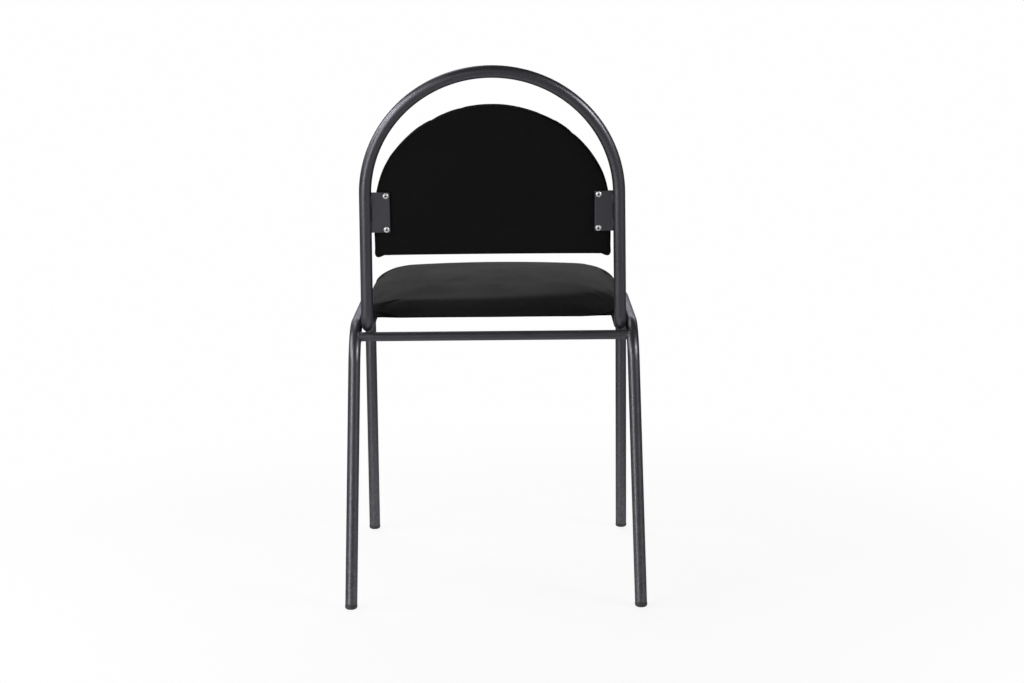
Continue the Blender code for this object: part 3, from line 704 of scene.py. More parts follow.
def archPath():
    front = spot(archRailX(railEnd), railEnd, steel["railHeight"])
    corner = spot(archRailX(steel["archForward"]), steel["archForward"], steel["railHeight"])
    side = archFrame @ archSide.to_3d()
    half = [front, *bendPoints(front, corner, side, steel["archBend"], tubeMesh["bendSteps"]), side]
    start = math.atan2(archSide.y - archCentre.y, archSide.x)
    top = []
    for step in range(1, tubeMesh["archSteps"]):
        angle = start + (math.pi - 2 * start) * step / tubeMesh["archSteps"]
        point = archCentre + Vector((math.cos(angle), math.sin(angle))) * steel["archRadius"]
        top.append(archFrame @ point.to_3d())
    return half + top + [Vector((-p.x, p.y, p.z)) for p in reversed(half)]


def distanceToPath(point, path):
    nearest = 1e9
    for here, after in zip(path, path[1:]):
        run = after - here
        share = min(1, max(0, (point - here).dot(run) / run.length_squared))
        nearest = min(nearest, (point - here - run * share).length)
    return nearest


def saddlePoint(start, side, path, clear):
    # how far out a line along X runs before it meets a leg tube
    low, high = tubeMesh["saddleFrom"], abs(path[0].x)
    for _ in range(tubeMesh["halvings"]):
        middle = (low + high) / 2
        if distanceToPath(Vector((side * middle, start.y, start.z)), path) > clear:
            low = middle
        else:
            high = middle
    return Vector((side * low, start.y, start.z))


def barShape(front):
    centre = bendMiddle(1, front)
    count = tubeMesh["sides"]
    shape = newShape()
    rows = []
    saddles = {}
    for radius, order in ((steel["barRadius"], 1), (steel["barRadius"] - steel["barWall"], -1)):
        ends = {}
        for side in (-1, 1):
            path = legPaths[side]
            bend = path[1 + front * (tubeMesh["bendSteps"] + 1) :][: tubeMesh["bendSteps"] + 1]
            ring = []
            for i in range(count):
                angle = -2 * math.pi * i / count
                start = Vector((0, centre.y + radius * math.cos(angle), centre.z + radius * math.sin(angle)))
                ring.append(saddlePoint(start, side, bend, steel["tubeRadius"]))
            ends[side] = ring
        if order == 1:
            saddles = ends
        rings = []
        for step in range(tubeMesh["barSteps"] + 1):
            share = step / tubeMesh["barSteps"]
            rings.append([a.lerp(b, share) for a, b in zip(ends[1], ends[-1])])
        rows += rings[::order]
    stack(shape, [addRing(shape, ring) for ring in rows], closed=True)
    return shape, saddles, centre


legPaths = {side: legPath(side) for side in sides.values()}
for label, side in sides.items():
    tube = tubeShape(legPaths[side], steel["tubeRadius"], steel["tubeWall"], tubeMesh["sides"])
    addPiece("legTube" + label, tube, paint, ["leg_frame_" + label.lower()])
archLine = archPath()
arch = tubeShape(archLine, steel["tubeRadius"], steel["tubeWall"], tubeMesh["sides"])
addPiece("archTube", arch, paint, ["back_arch"])
barSaddles = {}
for front, label in ((0, "rear"), (1, "front")):
    bar, saddles, centre = barShape(front)
    barSaddles[label] = (saddles, centre)
    addPiece(label + "TieBar", bar, paint, [label + "_crossbar"])
print("tubes swept")

# plugs in the tube ends
plugMesh = {
    "steps": 48,
    "arcSteps": 6,
    "footFillet": 0.0032,
    "footShares": (0.35, 0.7, 1.0),
    "footEdge": 0.0005,
    "footEdgeIn": 0.0004,
    "stem": 0.015,
    "ribs": 2,
    "ribDepth": 0.0008,
    "domeRim": 0.0009,
    "domeRise": 0.0016,
    "domeFlat": 0.55,  # share of the rail plug's radius
    "grip": 0.008,
}


def footShape(floorPoint, top):
    along = (top - floorPoint).normalized()
    place = Matrix.Translation(floorPoint) @ along.to_track_quat("Z", "Y").to_matrix().to_4x4()
    turn = place.to_3x3()
    across = [turn @ Vector((math.cos(a), math.sin(a), 0)) for a in circle(plugMesh["steps"])]
    radius = steel["tubeRadius"] + steel["footLip"]
    fillet = plugMesh["footFillet"]
    head = steel["footHead"]
    shape = newShape()

    def levelRing(size, height):
        # where the plug's side meets a level plane
        return [floorPoint + u * size + along * ((height - (u * size).z) / along.z) for u in across]

    rows = []
    for step in range(plugMesh["arcSteps"] + 1):
        angle = math.pi / 2 * step / plugMesh["arcSteps"]
        size = radius - fillet * (1 - math.sin(angle))
        rows.append(addRing(shape, levelRing(size, fillet * (1 - math.cos(angle)))))
    upper = [floorPoint + u * radius + along * (head - plugMesh["footEdge"]) for u in across]
    lower = levelRing(radius, fillet)
    for share in plugMesh["footShares"]:
        rows.append(addRing(shape, [a.lerp(b, share) for a, b in zip(lower, upper)]))
    edge = radius - plugMesh["footEdgeIn"]
    rows.append(addRing(shape, [floorPoint + u * edge + along * head for u in across]))
    bore = steel["tubeRadius"] - steel["tubeWall"] - steel["fit"]
    stem = bore - plugMesh["ribDepth"]
    pitch = plugMesh["stem"] / (2 * plugMesh["ribs"] + 1)
    profile = [(stem, head)]
    for number in range(1, plugMesh["ribs"] + 1):
        low = head + (2 * number - 1) * pitch
        profile += [(stem, low), (bore, low + pitch / 2), (bore, low + pitch)]
    profile.append((stem, head + plugMesh["stem"]))
    for size, height in profile:
        rows.append(addRing(shape, [floorPoint + u * size + along * height for u in across]))
    stack(shape, rows)
    closeTip(shape, rows[0], floorPoint, flip=True)
    closeTip(shape, rows[-1], floorPoint + along * (head + plugMesh["stem"]))
    return shape


def railPlugShape(end, inner):
    along = (inner - end).normalized()
    place = Matrix.Translation(end) @ along.to_track_quat("Z", "Y").to_matrix().to_4x4()
    radius = steel["tubeRadius"]
    bore = radius - steel["tubeWall"] - steel["fit"]
    gap, flat, stem = steel["fit"], plugMesh["domeFlat"], plugMesh["stem"]
    rim, rise = gap + plugMesh["domeRim"], plugMesh["domeRise"]
    profile = [(0, -rim - rise)]
    for step in range(1, plugMesh["arcSteps"] + 1):
        angle = math.pi / 2 * step / plugMesh["arcSteps"]
        profile.append((radius * (flat + (1 - flat) * math.sin(angle)), -rim - rise * math.cos(angle)))
    profile += [(radius, -gap), (bore, -gap), (bore, plugMesh["grip"])]
    profile += [(bore - plugMesh["ribDepth"], stem), (0, stem)]
    shape = newShape()
    lathe(shape, profile, plugMesh["steps"], place)
    return shape


for label, side in sides.items():
    corners = legCorners(side)
    for end, foot, top in (("Rear", corners[0], corners[1]), ("Front", corners[3], corners[2])):
        node = f"foot_plug_{end.lower()}_{label.lower()}"
        addPiece(f"footPlug{end}{label}", footShape(foot, top), plastic, [node])
for label, end, inner in (("Left", archLine[0], archLine[1]), ("Right", archLine[-1], archLine[-2])):
    plug = railPlugShape(end, inner)
    addPiece("railPlug" + label, plug, plastic, ["rail_plug_" + label.lower()])
print("plugs turned")

# the back's measures, up the lean from the rail line, and the seat's
backPad = {
    "rise": 0.113,
    "sideGap": 0.0028,
    "handGap": 0.0413,
    "straight": 0.063,
    "corner": 0.007,
    "roll": 0.004,
    "board": 0.008,
    "boardInset": 0.006,
    "base": 0.0018,
    "boardLift": 0.0015,
    "side": 0.013,
    "reach": 0.045,
    "shoulder": 0.016,
    "crown": 0.005,
    "earLength": 0.016,
    "earDrop": 0.006,
    "earOut": 0.001,
    "perSide": 60,
    "warp": 0.45,
    "split": math.radians(52),  # where the outline's sides meet its top
    "cornerSteps": 8,
    "sideSteps": 40,
    "topSteps": 60,
    "bottomSteps": 90,
    "rollSteps": 9,
    "shoulderSteps": 11,
    # the seam: its height, and where it starts to show inside the outline
    "seam": 0.0075,
    "seamDepth": 0.0014,
    "seamWidth": 0.0011,
    "seamTop": (0.9, 0.96),
    "seamSide": (0.02, 0.01),
    "seamFoot": (0.012, 0.02),
    "pucker": 0.009,
    "puckerShare": 0.3,
    "puckerSlant": 0.8,
    "hem": 0.0052,
    "hemDepth": 0.0006,
    "hemSteps": (0.007, 0.0025, 0.0008),
    "heldBelow": 0.002,
    "pressure": 3.5,
    "cap": 0.004,
}
seatPad = {
    "half": 0.20004,
    "depth": 0.382,
    "rearBow": 0.006,
    "frontBow": 0.028,
    "rearCorner": 0.032,
    "frontCorner": 0.070,
    "forward": 0.289,
    "base": 0.4193,
    "roll": 0.006,
    "rollStart": 0.002,
    "lip": 0.018,
    "lipSteps": (0.0, 0.001, 0.006, 0.012),
    "board": 0.010,
    "boardInset": 0.008,
    "boardLift": 0.0015,
    "side": 0.012,
    "reach": 0.110,
    "shoulder": 0.0312,
    "crown": 0.003,
    "perSide": 72,
    "warp": 0.5,
    "frontSteps": 24,
    "rearSteps": 16,
    "rollSteps": 11,
    "shoulderSteps": 16,
    "pressure": 4.0,
    "cap": 0.006,
    # a tuck in each rear corner: from x and height down to x and height
    "tucks": ((0.188, 0.0115, 0.138, 0.0010), (-0.187, 0.0088, -0.158, 0.0022)),
    "tuckBehind": 0.1,
    "tuckStart": (-0.08, 0.12),
    "tuckEnd": (0.8, 1.0),
    "tuckCurve": 1.2,
    "tuckDepth": 0.0022,
    "tuckUpper": (-0.0002, 0.0012),
    "tuckLower": (0.004, 0.0075),
    "tuckFloor": (0.0003, 0.003),
    "tuckRidge": 0.0015,
    "ridgeRise": 0.0012,
    "ridgeWidth": 0.0014,
    "rearSlope": 0.0090,  # how far the top falls away towards the rear edge
    "rearSlopeAt": 0.040,
    "rearTilt": 0.75,  # and how much more on the left
    "gathers": 8,
    "gatherDepth": 0.0011,
    "gatherTurn": 0.6,
    "gatherPower": 3,
    "gatherReach": (-0.012, 0.008),
    "gatherTop": (0.006, 0.02),
}
seatDeep = (seatPad["depth"] - seatPad["rearBow"] - seatPad["frontBow"]) / 2

# welded plates and their screws
plates = {
    "thickness": 0.003,
    "corner": 0.002,
    "bevel": 0.0009,
    "backNutEdge": 0.0157,
    "backHeight": 0.0614,
    "backRise": 0.0674,
    "backScrewEdge": 0.0055,
    "backSpacing": 0.0515,
    "seatNutEdge": 0.034,
    "seatLength": 0.036,
    "seatScrewEdge": 0.010,
    "rearForward": 0.170,
    "frontBehind": 0.073,
    "hole": 0.0028,
    "holeSteps": 24,
    "cornerSteps": 6,
    "edgeSteps": 16,
    "edgeSink": 0.0001,  # how far a back plate's edge is let into the tube
    "edgeGap": 0.0001,  # and how far a seat plate's edge stays off it
}
screws = {
    "head": 0.0044,
    "rise": 0.0028,
    "rim": 0.0006,
    "edge": 0.0002,
    "dome": math.radians(66),
    "domeSteps": 8,
    "domePower": 0.9,
    "socket": 0.0015,
    "socketDepth": 0.0016,
    "mouth": 1.10,  # shares of the socket
    "floor": 0.6,
    "mouthDepth": 0.00015,
    "floorDip": 0.0002,
    "tipDip": 0.0003,
    "shank": 0.0025,
    "neck": 0.0001,
    "point": 0.0006,
    "pointShare": 0.75,
    "short": 0.001,  # how far a screw ends inside its board
    "washer": 0.007,
    "washerThick": 0.0012,
    "washerPlay": 0.0002,
    "steps": 48,
    "sharpAngle": 28,
    "spin": 17,  # degrees, and how they differ by level and by side
    "spinUp": 23,
    "spinAcross": 11,
}
upsideDown = Matrix.Rotation(math.pi, 4, "X")


def backSize():
    half = archSideX(backPad["rise"] + backPad["straight"]) - steel["tubeRadius"] - backPad["sideGap"]
    top = archCentre.y + steel["archRadius"] - steel["tubeRadius"] - backPad["handGap"]
    return half, top - backPad["rise"]


backHalf, backHeight = backSize()


def arcPoints(x, y, radius, first, last, count):
    angles = [math.radians(first + (last - first) * i / count) for i in range(count + 1)]
    return [(x + radius * math.cos(a), y + radius * math.sin(a)) for a in angles]


def plateShape(name, outline, holes, place):
    # a flat curve with rounded edges, made into a mesh
    bevel = plates["bevel"]
    curve = bpy.data.curves.new(name, "CURVE")
    curve.dimensions = "2D"
    curve.fill_mode = "BOTH"
    curve.extrude = plates["thickness"] / 2 - bevel
    curve.bevel_depth = bevel
    curve.bevel_resolution = 3
    curve.offset = -bevel
    for loop in [outline, *holes]:
        spline = curve.splines.new("POLY")
        spline.use_cyclic_u = True
        spline.points.add(len(loop) - 1)
        for point, (x, y) in zip(spline.points, loop):
            point.co = (x, y, 0, 1)
    guide = bpy.data.objects.new(name + "Guide", curve)
    scene.collection.objects.link(guide)
    graph = bpy.context.evaluated_depsgraph_get()
    mesh = bpy.data.meshes.new_from_object(guide.evaluated_get(graph))
    bpy.data.objects.remove(guide)
    mesh.transform(place)
    shape = {
        "points": [tuple(vertex.co) for vertex in mesh.vertices],
        "faces": [tuple(face.vertices) for face in mesh.polygons],
    }
    bpy.data.meshes.remove(mesh)
    return shape


def plateOutline(edge, inner, low, high):
    # from the welded edge round the two free corners
    corner, steps = plates["corner"], plates["cornerSteps"]
    outline = edge + arcPoints(inner + corner, high - corner, corner, 90, 180, steps)
    return outline + arcPoints(inner + corner, low + corner, corner, 180, 270, steps)


def addPlate(name, outline, holes, place, node):
    shape = plateShape(name, outline, holes, place)
    addPiece(name, shape, paint, [node], sharpAngle=40)


def screwShape(length, place):
    # button head with a hexagon socket
    shape = newShape()
    head, rise, rim, shank, edge = (screws[key] for key in ("head", "rise", "rim", "shank", "edge"))
    bottom = rise - screws["socketDepth"]
    sector = math.pi / 3

    def turned(radius, height):
        return turnedRing(shape, radius, height, screws["steps"], place)

    def sixSided(scale, height):
        points = []
        for angle in circle(screws["steps"]):
            radius = scale * (screws["socket"] / math.cos((angle + sector / 2) % sector - sector / 2))
            points.append(place @ Vector((radius * math.cos(angle), radius * math.sin(angle), height)))
        return addRing(shape, points)

    rows = [turned(shank * screws["pointShare"], -length), turned(shank, -length + screws["point"])]
    rows += [turned(shank, -screws["neck"]), turned(head - edge, 0), turned(head, edge), turned(head, rim)]
    for step in range(1, screws["domeSteps"] + 1):
        angle = screws["dome"] * step / screws["domeSteps"]
        height = rim + (rise - rim) * math.sin(angle) / math.sin(screws["dome"])
        rows.append(turned(head * math.cos(angle) ** screws["domePower"], height))
    rows += [sixSided(screws["mouth"], rise), sixSided(1.0, rise - screws["mouthDepth"])]
    rows += [sixSided(1.0, bottom), sixSided(screws["floor"], bottom - screws["floorDip"])]
    closeTip(shape, rows[0], place @ Vector((0, 0, -length)), flip=True)
    stack(shape, rows[:-2])
    # the socket's walls and floor take the painted socket shade
    shape.update(second=socketShade, secondStart=len(shape["faces"]))
    stack(shape, rows[-3:])
    closeTip(shape, rows[-1], place @ Vector((0, 0, bottom - screws["tipDip"])))
    return shape


def addScrew(name, length, place, node):
    shape = screwShape(length, place)
    addPiece(name, shape, zinc, [node], screws["sharpAngle"])


def washerShape(place):
    shape = newShape()
    thick, edge = screws["washerThick"], screws["edge"]
    outer, inner = screws["washer"], screws["shank"] + screws["washerPlay"]
    profile = [(inner, 0), (outer - edge, 0), (outer, edge)]
    profile += [(outer, thick - edge), (outer - edge, thick), (inner, thick)]
    rows = [turnedRing(shape, radius, height, screws["steps"], place) for radius, height in profile]
    stack(shape, rows, closed=True)
    return shape


def backHalfAt(rise):
    above = max(0, rise - backPad["rise"] - backPad["straight"])
    return backHalf * math.sqrt(1 - (above / (backHeight - backPad["straight"])) ** 2)


def holeLoop(x, y):
    steps = plates["holeSteps"]
    return arcPoints(x, y, plates["hole"], 0, 360 - 360 / steps, steps - 1)


backMiddle = backPad["rise"] + plates["backRise"]
backScrewX = backHalfAt(backMiddle + plates["backSpacing"] / 2) - plates["backNutEdge"]


def addBackPlates():
    half, steps = plates["backHeight"] / 2, plates["edgeSteps"]
    low, high = backMiddle - half, backMiddle + half
    inner = backScrewX - plates["backScrewEdge"]
    flat = plates["thickness"] / 2 - plates["bevel"]
    touch = math.sqrt(steel["tubeRadius"] ** 2 - flat**2) - plates["edgeSink"]
    rises = [low + (high - low) * i / steps for i in range(steps + 1)]
    outline = plateOutline([(archSideX(rise) - touch, rise) for rise in rises], inner, low, high)
    headBase = -plates["thickness"] / 2 - steel["fit"]
    boardTop = backPad["boardLift"] + backPad["board"]
    length = plates["thickness"] + 2 * steel["fit"] + boardTop - screws["short"]
    levels = {
        "Upper": backMiddle + plates["backSpacing"] / 2,
        "Lower": backMiddle - plates["backSpacing"] / 2,
    }
    for label, side in sides.items():
        loop = [(side * x, y) for x, y in outline]
        holes = [holeLoop(side * backScrewX, y) for y in levels.values()]
        addPlate("backPlate" + label, loop, holes, archFrame, "back_bracket_" + label.lower())
        for level, y in levels.items():
            place = archFrame @ Matrix.Translation((side * backScrewX, y, headBase)) @ upsideDown
            turn = screws["spin"] + screws["spinUp"] * y * 1000 % 60 + screws["spinAcross"] * side
            place = place @ Matrix.Rotation(math.radians(turn), 4, "Z")
            node = f"back_screw_{label.lower()}_{level.lower()}"
            addScrew(f"backScrew{label}{level}", length, place, node)


seatPlates = {"Rear": plates["rearForward"], "Front": railEnd - plates["frontBehind"]}
plateBase = seatPad["base"] - steel["fit"] - plates["thickness"]


def addSeatPlates():
    half = plates["seatLength"] / 2
    screwX = seatPad["half"] - plates["seatNutEdge"]
    inner = screwX - plates["seatScrewEdge"]
    washerBase = plateBase - steel["fit"] - screws["washerThick"]
    headBase = washerBase - steel["fit"]
    boardTop = seatPad["base"] + seatPad["boardLift"] + seatPad["board"]
    length = boardTop - screws["short"] - headBase
    touch = math.sqrt(steel["tubeRadius"] ** 2 - (steel["tubeRadius"] - plates["thickness"]) ** 2)
    for end, forward in seatPlates.items():
        outer = archRailX(forward) - touch - plates["edgeGap"]
        outline = plateOutline([(outer, -half), (outer, half)], inner, -half, half)
        for label, side in sides.items():
            loop = [(side * x, y) for x, y in outline]
            hole = holeLoop(side * screwX, 0)
            place = Matrix.Translation(spot(0, forward, plateBase + plates["thickness"] / 2))
            tag = f"{end.lower()}_{label.lower()}"
            addPlate(f"seatPlate{end}{label}", loop, [hole], place, "seat_bracket_" + tag)
            washer = washerShape(Matrix.Translation(spot(side * screwX, forward, washerBase)))
            addPiece(f"seatWasher{end}{label}", washer, zinc, ["seat_washer_" + tag])
            place = Matrix.Translation(spot(side * screwX, forward, headBase)) @ upsideDown
            addScrew(f"seatScrew{end}{label}", length, place, "seat_screw_" + tag)


addBackPlates()
addSeatPlates()
print("plates and screws set")

# weld beads
beads = {
    "seed": 4,
    "step": 0.00045,
    "sides": 12,
    "pitch": 0.0017,
    "base": 0.86,
    "ripple": 0.14,
    "ripplePower": 0.6,
    "lump": 0.12,
    "lumpStep": 0.002,
    "taper": 1.4,
    "thinnest": 0.12,
    "sink": 0.0001,
    "backRadius": 0.0012,
    "backSpans": ((-0.026, -0.013), (0.012, 0.026)),
    "backSteps": 8,
    "seatRadius": 0.0014,
    "seatShifts": (-0.010, 0.010),
    "seatHalf": 0.005,
    "seatIn": 0.0070,
    "seatDrop": 0.0002,
    "railRadius": 0.0018,
    "railStarts": (0.13, 0.24, 0.34),
    "railLength": 0.02,
    "railOut": 0.00015,
    "railDrop": 0.0047,
    "barRadius": 0.0011,
    "barRipple": 0.16,
    "barSplit": 6,
}
beadDice = np.random.RandomState(beads["seed"])


def densePath(path, step):
    dense = [path[0]]
    for here, after in zip(path, path[1:]):
        count = max(1, round((after - here).length / step))
        dense += [here.lerp(after, i / count) for i in range(1, count + 1)]
    return dense


def addBead(shape, path, radius):
    # an open bead with ripples and rounded ends
    dense = densePath(path, beads["step"])
    run = np.concatenate([[0], np.cumsum([(b - a).length for a, b in zip(dense, dense[1:])])])
    ripple = np.abs(np.sin(math.pi * run / beads["pitch"])) ** beads["ripplePower"]
    marks = np.arange(0, run[-1] + 2 * beads["lumpStep"], beads["lumpStep"])
    lumps = np.interp(run, marks, beadDice.uniform(-beads["lump"], beads["lump"], len(marks)))
    ends = np.clip(np.minimum(run, run[-1] - run) / (beads["taper"] * radius), 0, 1)
    rounded = np.sqrt(1 - (1 - ends) ** 2).clip(beads["thinnest"])
    radii = radius * (beads["base"] + beads["ripple"] * ripple + lumps) * rounded
    rows = [addRing(shape, ring) for ring in crossRings(dense, radii, beads["sides"])]
    stack(shape, rows)
    closeTip(shape, rows[0], dense[0], flip=True)
    closeTip(shape, rows[-1], dense[-1])


def addSaddleBead(shape, ring, centre, radius):
    # a closed bead round the end of a tie bar
    split = beads["barSplit"]
    count = split * len(ring)
    loop = []
    for here, after in zip(ring, ring[1:] + ring[:1]):
        loop += [here.lerp(after, i / split) for i in range(split)]
    turns = circle(beads["sides"])
    rows = []
    for i, point in enumerate(loop):
        along = (loop[(i + 1) % count] - loop[i - 1]).normalized()
        out = Vector((0, point.y - centre.y, point.z - centre.z)).normalized()
        out = (out - along * out.dot(along)).normalized()
        inward = along.cross(out)
        run = i * 2 * math.pi * steel["barRadius"] / count
        ripple = abs(math.sin(math.pi * run / beads["pitch"])) ** beads["ripplePower"]
        size = radius * (beads["base"] + beads["barRipple"] * ripple)
        spokes = [out * math.cos(t) + inward * math.sin(t) for t in turns]
        rows.append(addRing(shape, [point + spoke * size for spoke in spokes]))
    stack(shape, rows, closed=True)


def backWeld(side, face, low, high):
    line = []
    for i in range(beads["backSteps"] + 1):
        rise = low + (high - low) * i / beads["backSteps"]
        x = archSideX(rise) - steel["tubeRadius"] + beads["sink"]
        point = Vector((side * x, rise, face * (plates["thickness"] / 2 + beads["sink"])))
        line.append(archFrame @ point)
    return line


def seatWeld(side, middle):
    ends = (middle - beads["seatHalf"], middle + beads["seatHalf"])
    height = plateBase - beads["seatDrop"]
    return [spot(side * (archRailX(end) - beads["seatIn"]), end, height) for end in ends]


def railWeld(side, start):
    ends = (start, start + beads["railLength"])
    out = steel["tubeRadius"] + beads["railOut"]
    height = steel["railHeight"] - beads["railDrop"]
    return [spot(side * (archRailX(end) + out), end, height) for end in ends]


def addWelds():
    welds = {"plateWelds": newShape(), "tieBarWelds": newShape(), "railWelds": newShape()}
    for side in sides.values():
        for low, high in beads["backSpans"]:
            for face in (-1, 1):
                line = backWeld(side, face, backMiddle + low, backMiddle + high)
                addBead(welds["plateWelds"], line, beads["backRadius"])
        for forward in seatPlates.values():
            for shift in beads["seatShifts"]:
                addBead(welds["plateWelds"], seatWeld(side, forward + shift), beads["seatRadius"])
        for start in beads["railStarts"]:
            addBead(welds["railWelds"], railWeld(side, start), beads["railRadius"])
    for saddles, centre in barSaddles.values():
        for ring in saddles.values():
            addSaddleBead(welds["tieBarWelds"], ring, centre, beads["barRadius"])
    for name, shape in welds.items():
        addPiece(name, shape, paint, sharpAngle=0)


addWelds()
print("welds laid")


# cushions: rings of points from the underside round to the top, then a patch
leastCorner = 0.25
crownPower = 1.5
coverCloth = {
    "quality": 6,
    "mass": 0.2,
    "tension_stiffness": 18,
    "compression_stiffness": 18,
    "shear_stiffness": 6,
    "bending_stiffness": 1.5,
    "use_pressure": True,
}
puffFrames = 20


def resample(points, count, warp):
    # count steps along a line, closer together at its two ends
    line = np.array(points)
    run = np.concatenate([[0], np.cumsum(np.linalg.norm(np.diff(line, axis=0), axis=1))])
    share = np.arange(count) / count
    share = share - warp * np.sin(2 * math.pi * share) / (2 * math.pi)
    return np.column_stack([np.interp(share * run[-1], run, line[:, axis]) for axis in range(2)])


def straight(start, end, count=40):
    return [(start[0] + (end[0] - start[0]) * i / count, start[1] + (end[1] - start[1]) * i / count)
            for i in range(1, count)]


def mirrored(points):
    return [(-x, y) for x, y in reversed(points)]


def deepCorner(radius, inset):
    return max(radius - inset, radius * leastCorner)


def ovalPoints(half, top, first, last, count):
    angles = [first + (last - first) * i / count for i in range(count + 1)]
    return [(half * math.cos(a), backPad["straight"] + top * math.sin(a)) for a in angles]


def backOutline(inset, ear):
    half = backHalf - inset
    corner = deepCorner(backPad["corner"], inset)
    top = backHeight - backPad["straight"] - inset
    split, steps = backPad["split"], backPad["cornerSteps"]
    low = arcPoints(half - corner, inset + corner, corner, -90, -45, steps)
    high = arcPoints(half - corner, inset + corner, corner, -45, 0, steps)
    foot = straight((corner - half, inset), (half - corner, inset), backPad["bottomSteps"])
    bottom = mirrored(low) + foot + low
    rise = ovalPoints(half, top, 0, split, backPad["sideSteps"])
    over = ovalPoints(half, top, split, math.pi - split, backPad["topSteps"])
    right = high + straight(high[-1], rise[0]) + rise
    lines = [bottom, right, over, mirrored(right)]
    ring = np.vstack([resample(line, backPad["perSide"], backPad["warp"]) for line in lines])
    x, y = ring[:, 0], ring[:, 1]
    length = backPad["earLength"]
    near = np.clip(1 - (half - np.abs(x)) / length, 0, None) * np.clip(1 - (y - inset) / length, 0, None)
    swell = ear * near * near * (3 - 2 * near)
    return np.column_stack([x + np.sign(x) * backPad["earOut"] * swell, y - backPad["earDrop"] * swell])


def seatOutline(inset):
    half = seatPad["half"] - inset
    deep = seatDeep - inset
    rear = deepCorner(seatPad["rearCorner"], inset)
    front = deepCorner(seatPad["frontCorner"], inset)
    steps = seatPad["frontSteps"]
    frontArc = [arcPoints(half - front, front - deep, front, a, a + 45, steps) for a in (-90, -45)]
    steps = seatPad["rearSteps"]
    rearArc = [arcPoints(half - rear, deep - rear, rear, a, a + 45, steps) for a in (0, 45)]
    bottom = mirrored(frontArc[0]) + straight((front - half, -deep), (half - front, -deep)) + frontArc[0]
    right = frontArc[1] + straight(frontArc[1][-1], rearArc[0][0]) + rearArc[0]
    top = rearArc[1] + straight(rearArc[1][-1], (rear - half, deep)) + mirrored(rearArc[1])
    lines = [bottom, right, top, mirrored(right)]
    ring = np.vstack([resample(line, seatPad["perSide"], seatPad["warp"]) for line in lines])
    x, y = ring[:, 0], ring[:, 1]
    bow = np.where(y > 0, seatPad["rearBow"], seatPad["frontBow"])
    return np.column_stack([x, y + bow * (y / deep) * (1 - (x / half) ** 2)])


def patchPoints(ring):
    # a grid stretched inside a ring of four equal sides
    per = len(ring) // 4
    a, b, c, d = (ring[i * per] for i in range(4))
    bottom, right = ring[: per + 1], ring[per : 2 * per + 1]
    top = ring[2 * per : 3 * per + 1][::-1]
    left = np.vstack([ring[3 * per :], ring[:1]])[::-1]
    u = np.linspace(0, 1, per + 1)[None, :, None]
    v = np.linspace(0, 1, per + 1)[:, None, None]
    flatSides = (1 - v) * bottom[None] + v * top[None] + (1 - u) * left[:, None] + u * right[:, None]
    return flatSides - ((1 - u) * (1 - v) * a + u * (1 - v) * b + u * v * c + (1 - u) * v * d)


def addPatch(shape, ringIds, ring, height, flip):
    # height gives z for a list of inner points
    per = len(ringIds) // 4
    grid = patchPoints(ring)
    inner = grid[1:-1, 1:-1].reshape(-1, 2)
    ids = np.zeros((per + 1, per + 1), int)
    ids[0] = ringIds[: per + 1]
    ids[:, -1] = ringIds[per : 2 * per + 1]
    ids[-1] = ringIds[2 * per : 3 * per + 1][::-1]
    ids[:, 0] = (ringIds[3 * per :] + ringIds[:1])[::-1]
    innerIds = addRing(shape, np.column_stack([inner, height(inner)]))
    ids[1:-1, 1:-1] = np.array(innerIds).reshape(per - 1, per - 1)
    for i in range(per):
        for j in range(per):
            face = (ids[i, j], ids[i, j + 1], ids[i + 1, j + 1], ids[i + 1, j])
            shape["faces"].append(tuple(int(k) for k in (face[::-1] if flip else face)))


def levelAt(height):
    return lambda points: np.full(len(points), height)


def crownOver(rim, level, crown):
    middle = rim.mean(0)
    angles = np.arctan2(rim[:, 1] - middle[1], rim[:, 0] - middle[0])
    order = np.argsort(angles)
    reach = np.linalg.norm(rim - middle, axis=1)[order]
    angles = angles[order]

    def height(points):
        away = points - middle
        rimReach = np.interp(np.arctan2(away[:, 1], away[:, 0]), angles, reach, period=2 * math.pi)
        share = np.clip(np.linalg.norm(away, axis=1) / rimReach, 0, 1)
        return level + crown * (1 - share**2) ** crownPower

    return height


def shoulderProfile(pad):
    # the rounded side and then the shoulder, as (inset, height)
    profile = []
    for step in range(1, pad["rollSteps"] + 1):
        angle = math.pi / 2 * step / pad["rollSteps"]
        profile.append((pad["roll"] * (1 - math.sin(angle)), pad["side"] * (1 - math.cos(angle))))
    for step in range(1, pad["shoulderSteps"] + 1):
        angle = math.pi / 2 * step / pad["shoulderSteps"]
        height = pad["side"] + pad["shoulder"] * math.sin(angle)
        profile.append((pad["reach"] * (1 - math.cos(angle)), height))
    return profile


def withHeight(ring, height):
    return np.column_stack([ring, np.full(len(ring), height)])


def addSkin(shape, rings, heights):
    rows = [addRing(shape, withHeight(ring, height)) for ring, height in zip(rings, heights)]
    stack(shape, rows)
    return rows


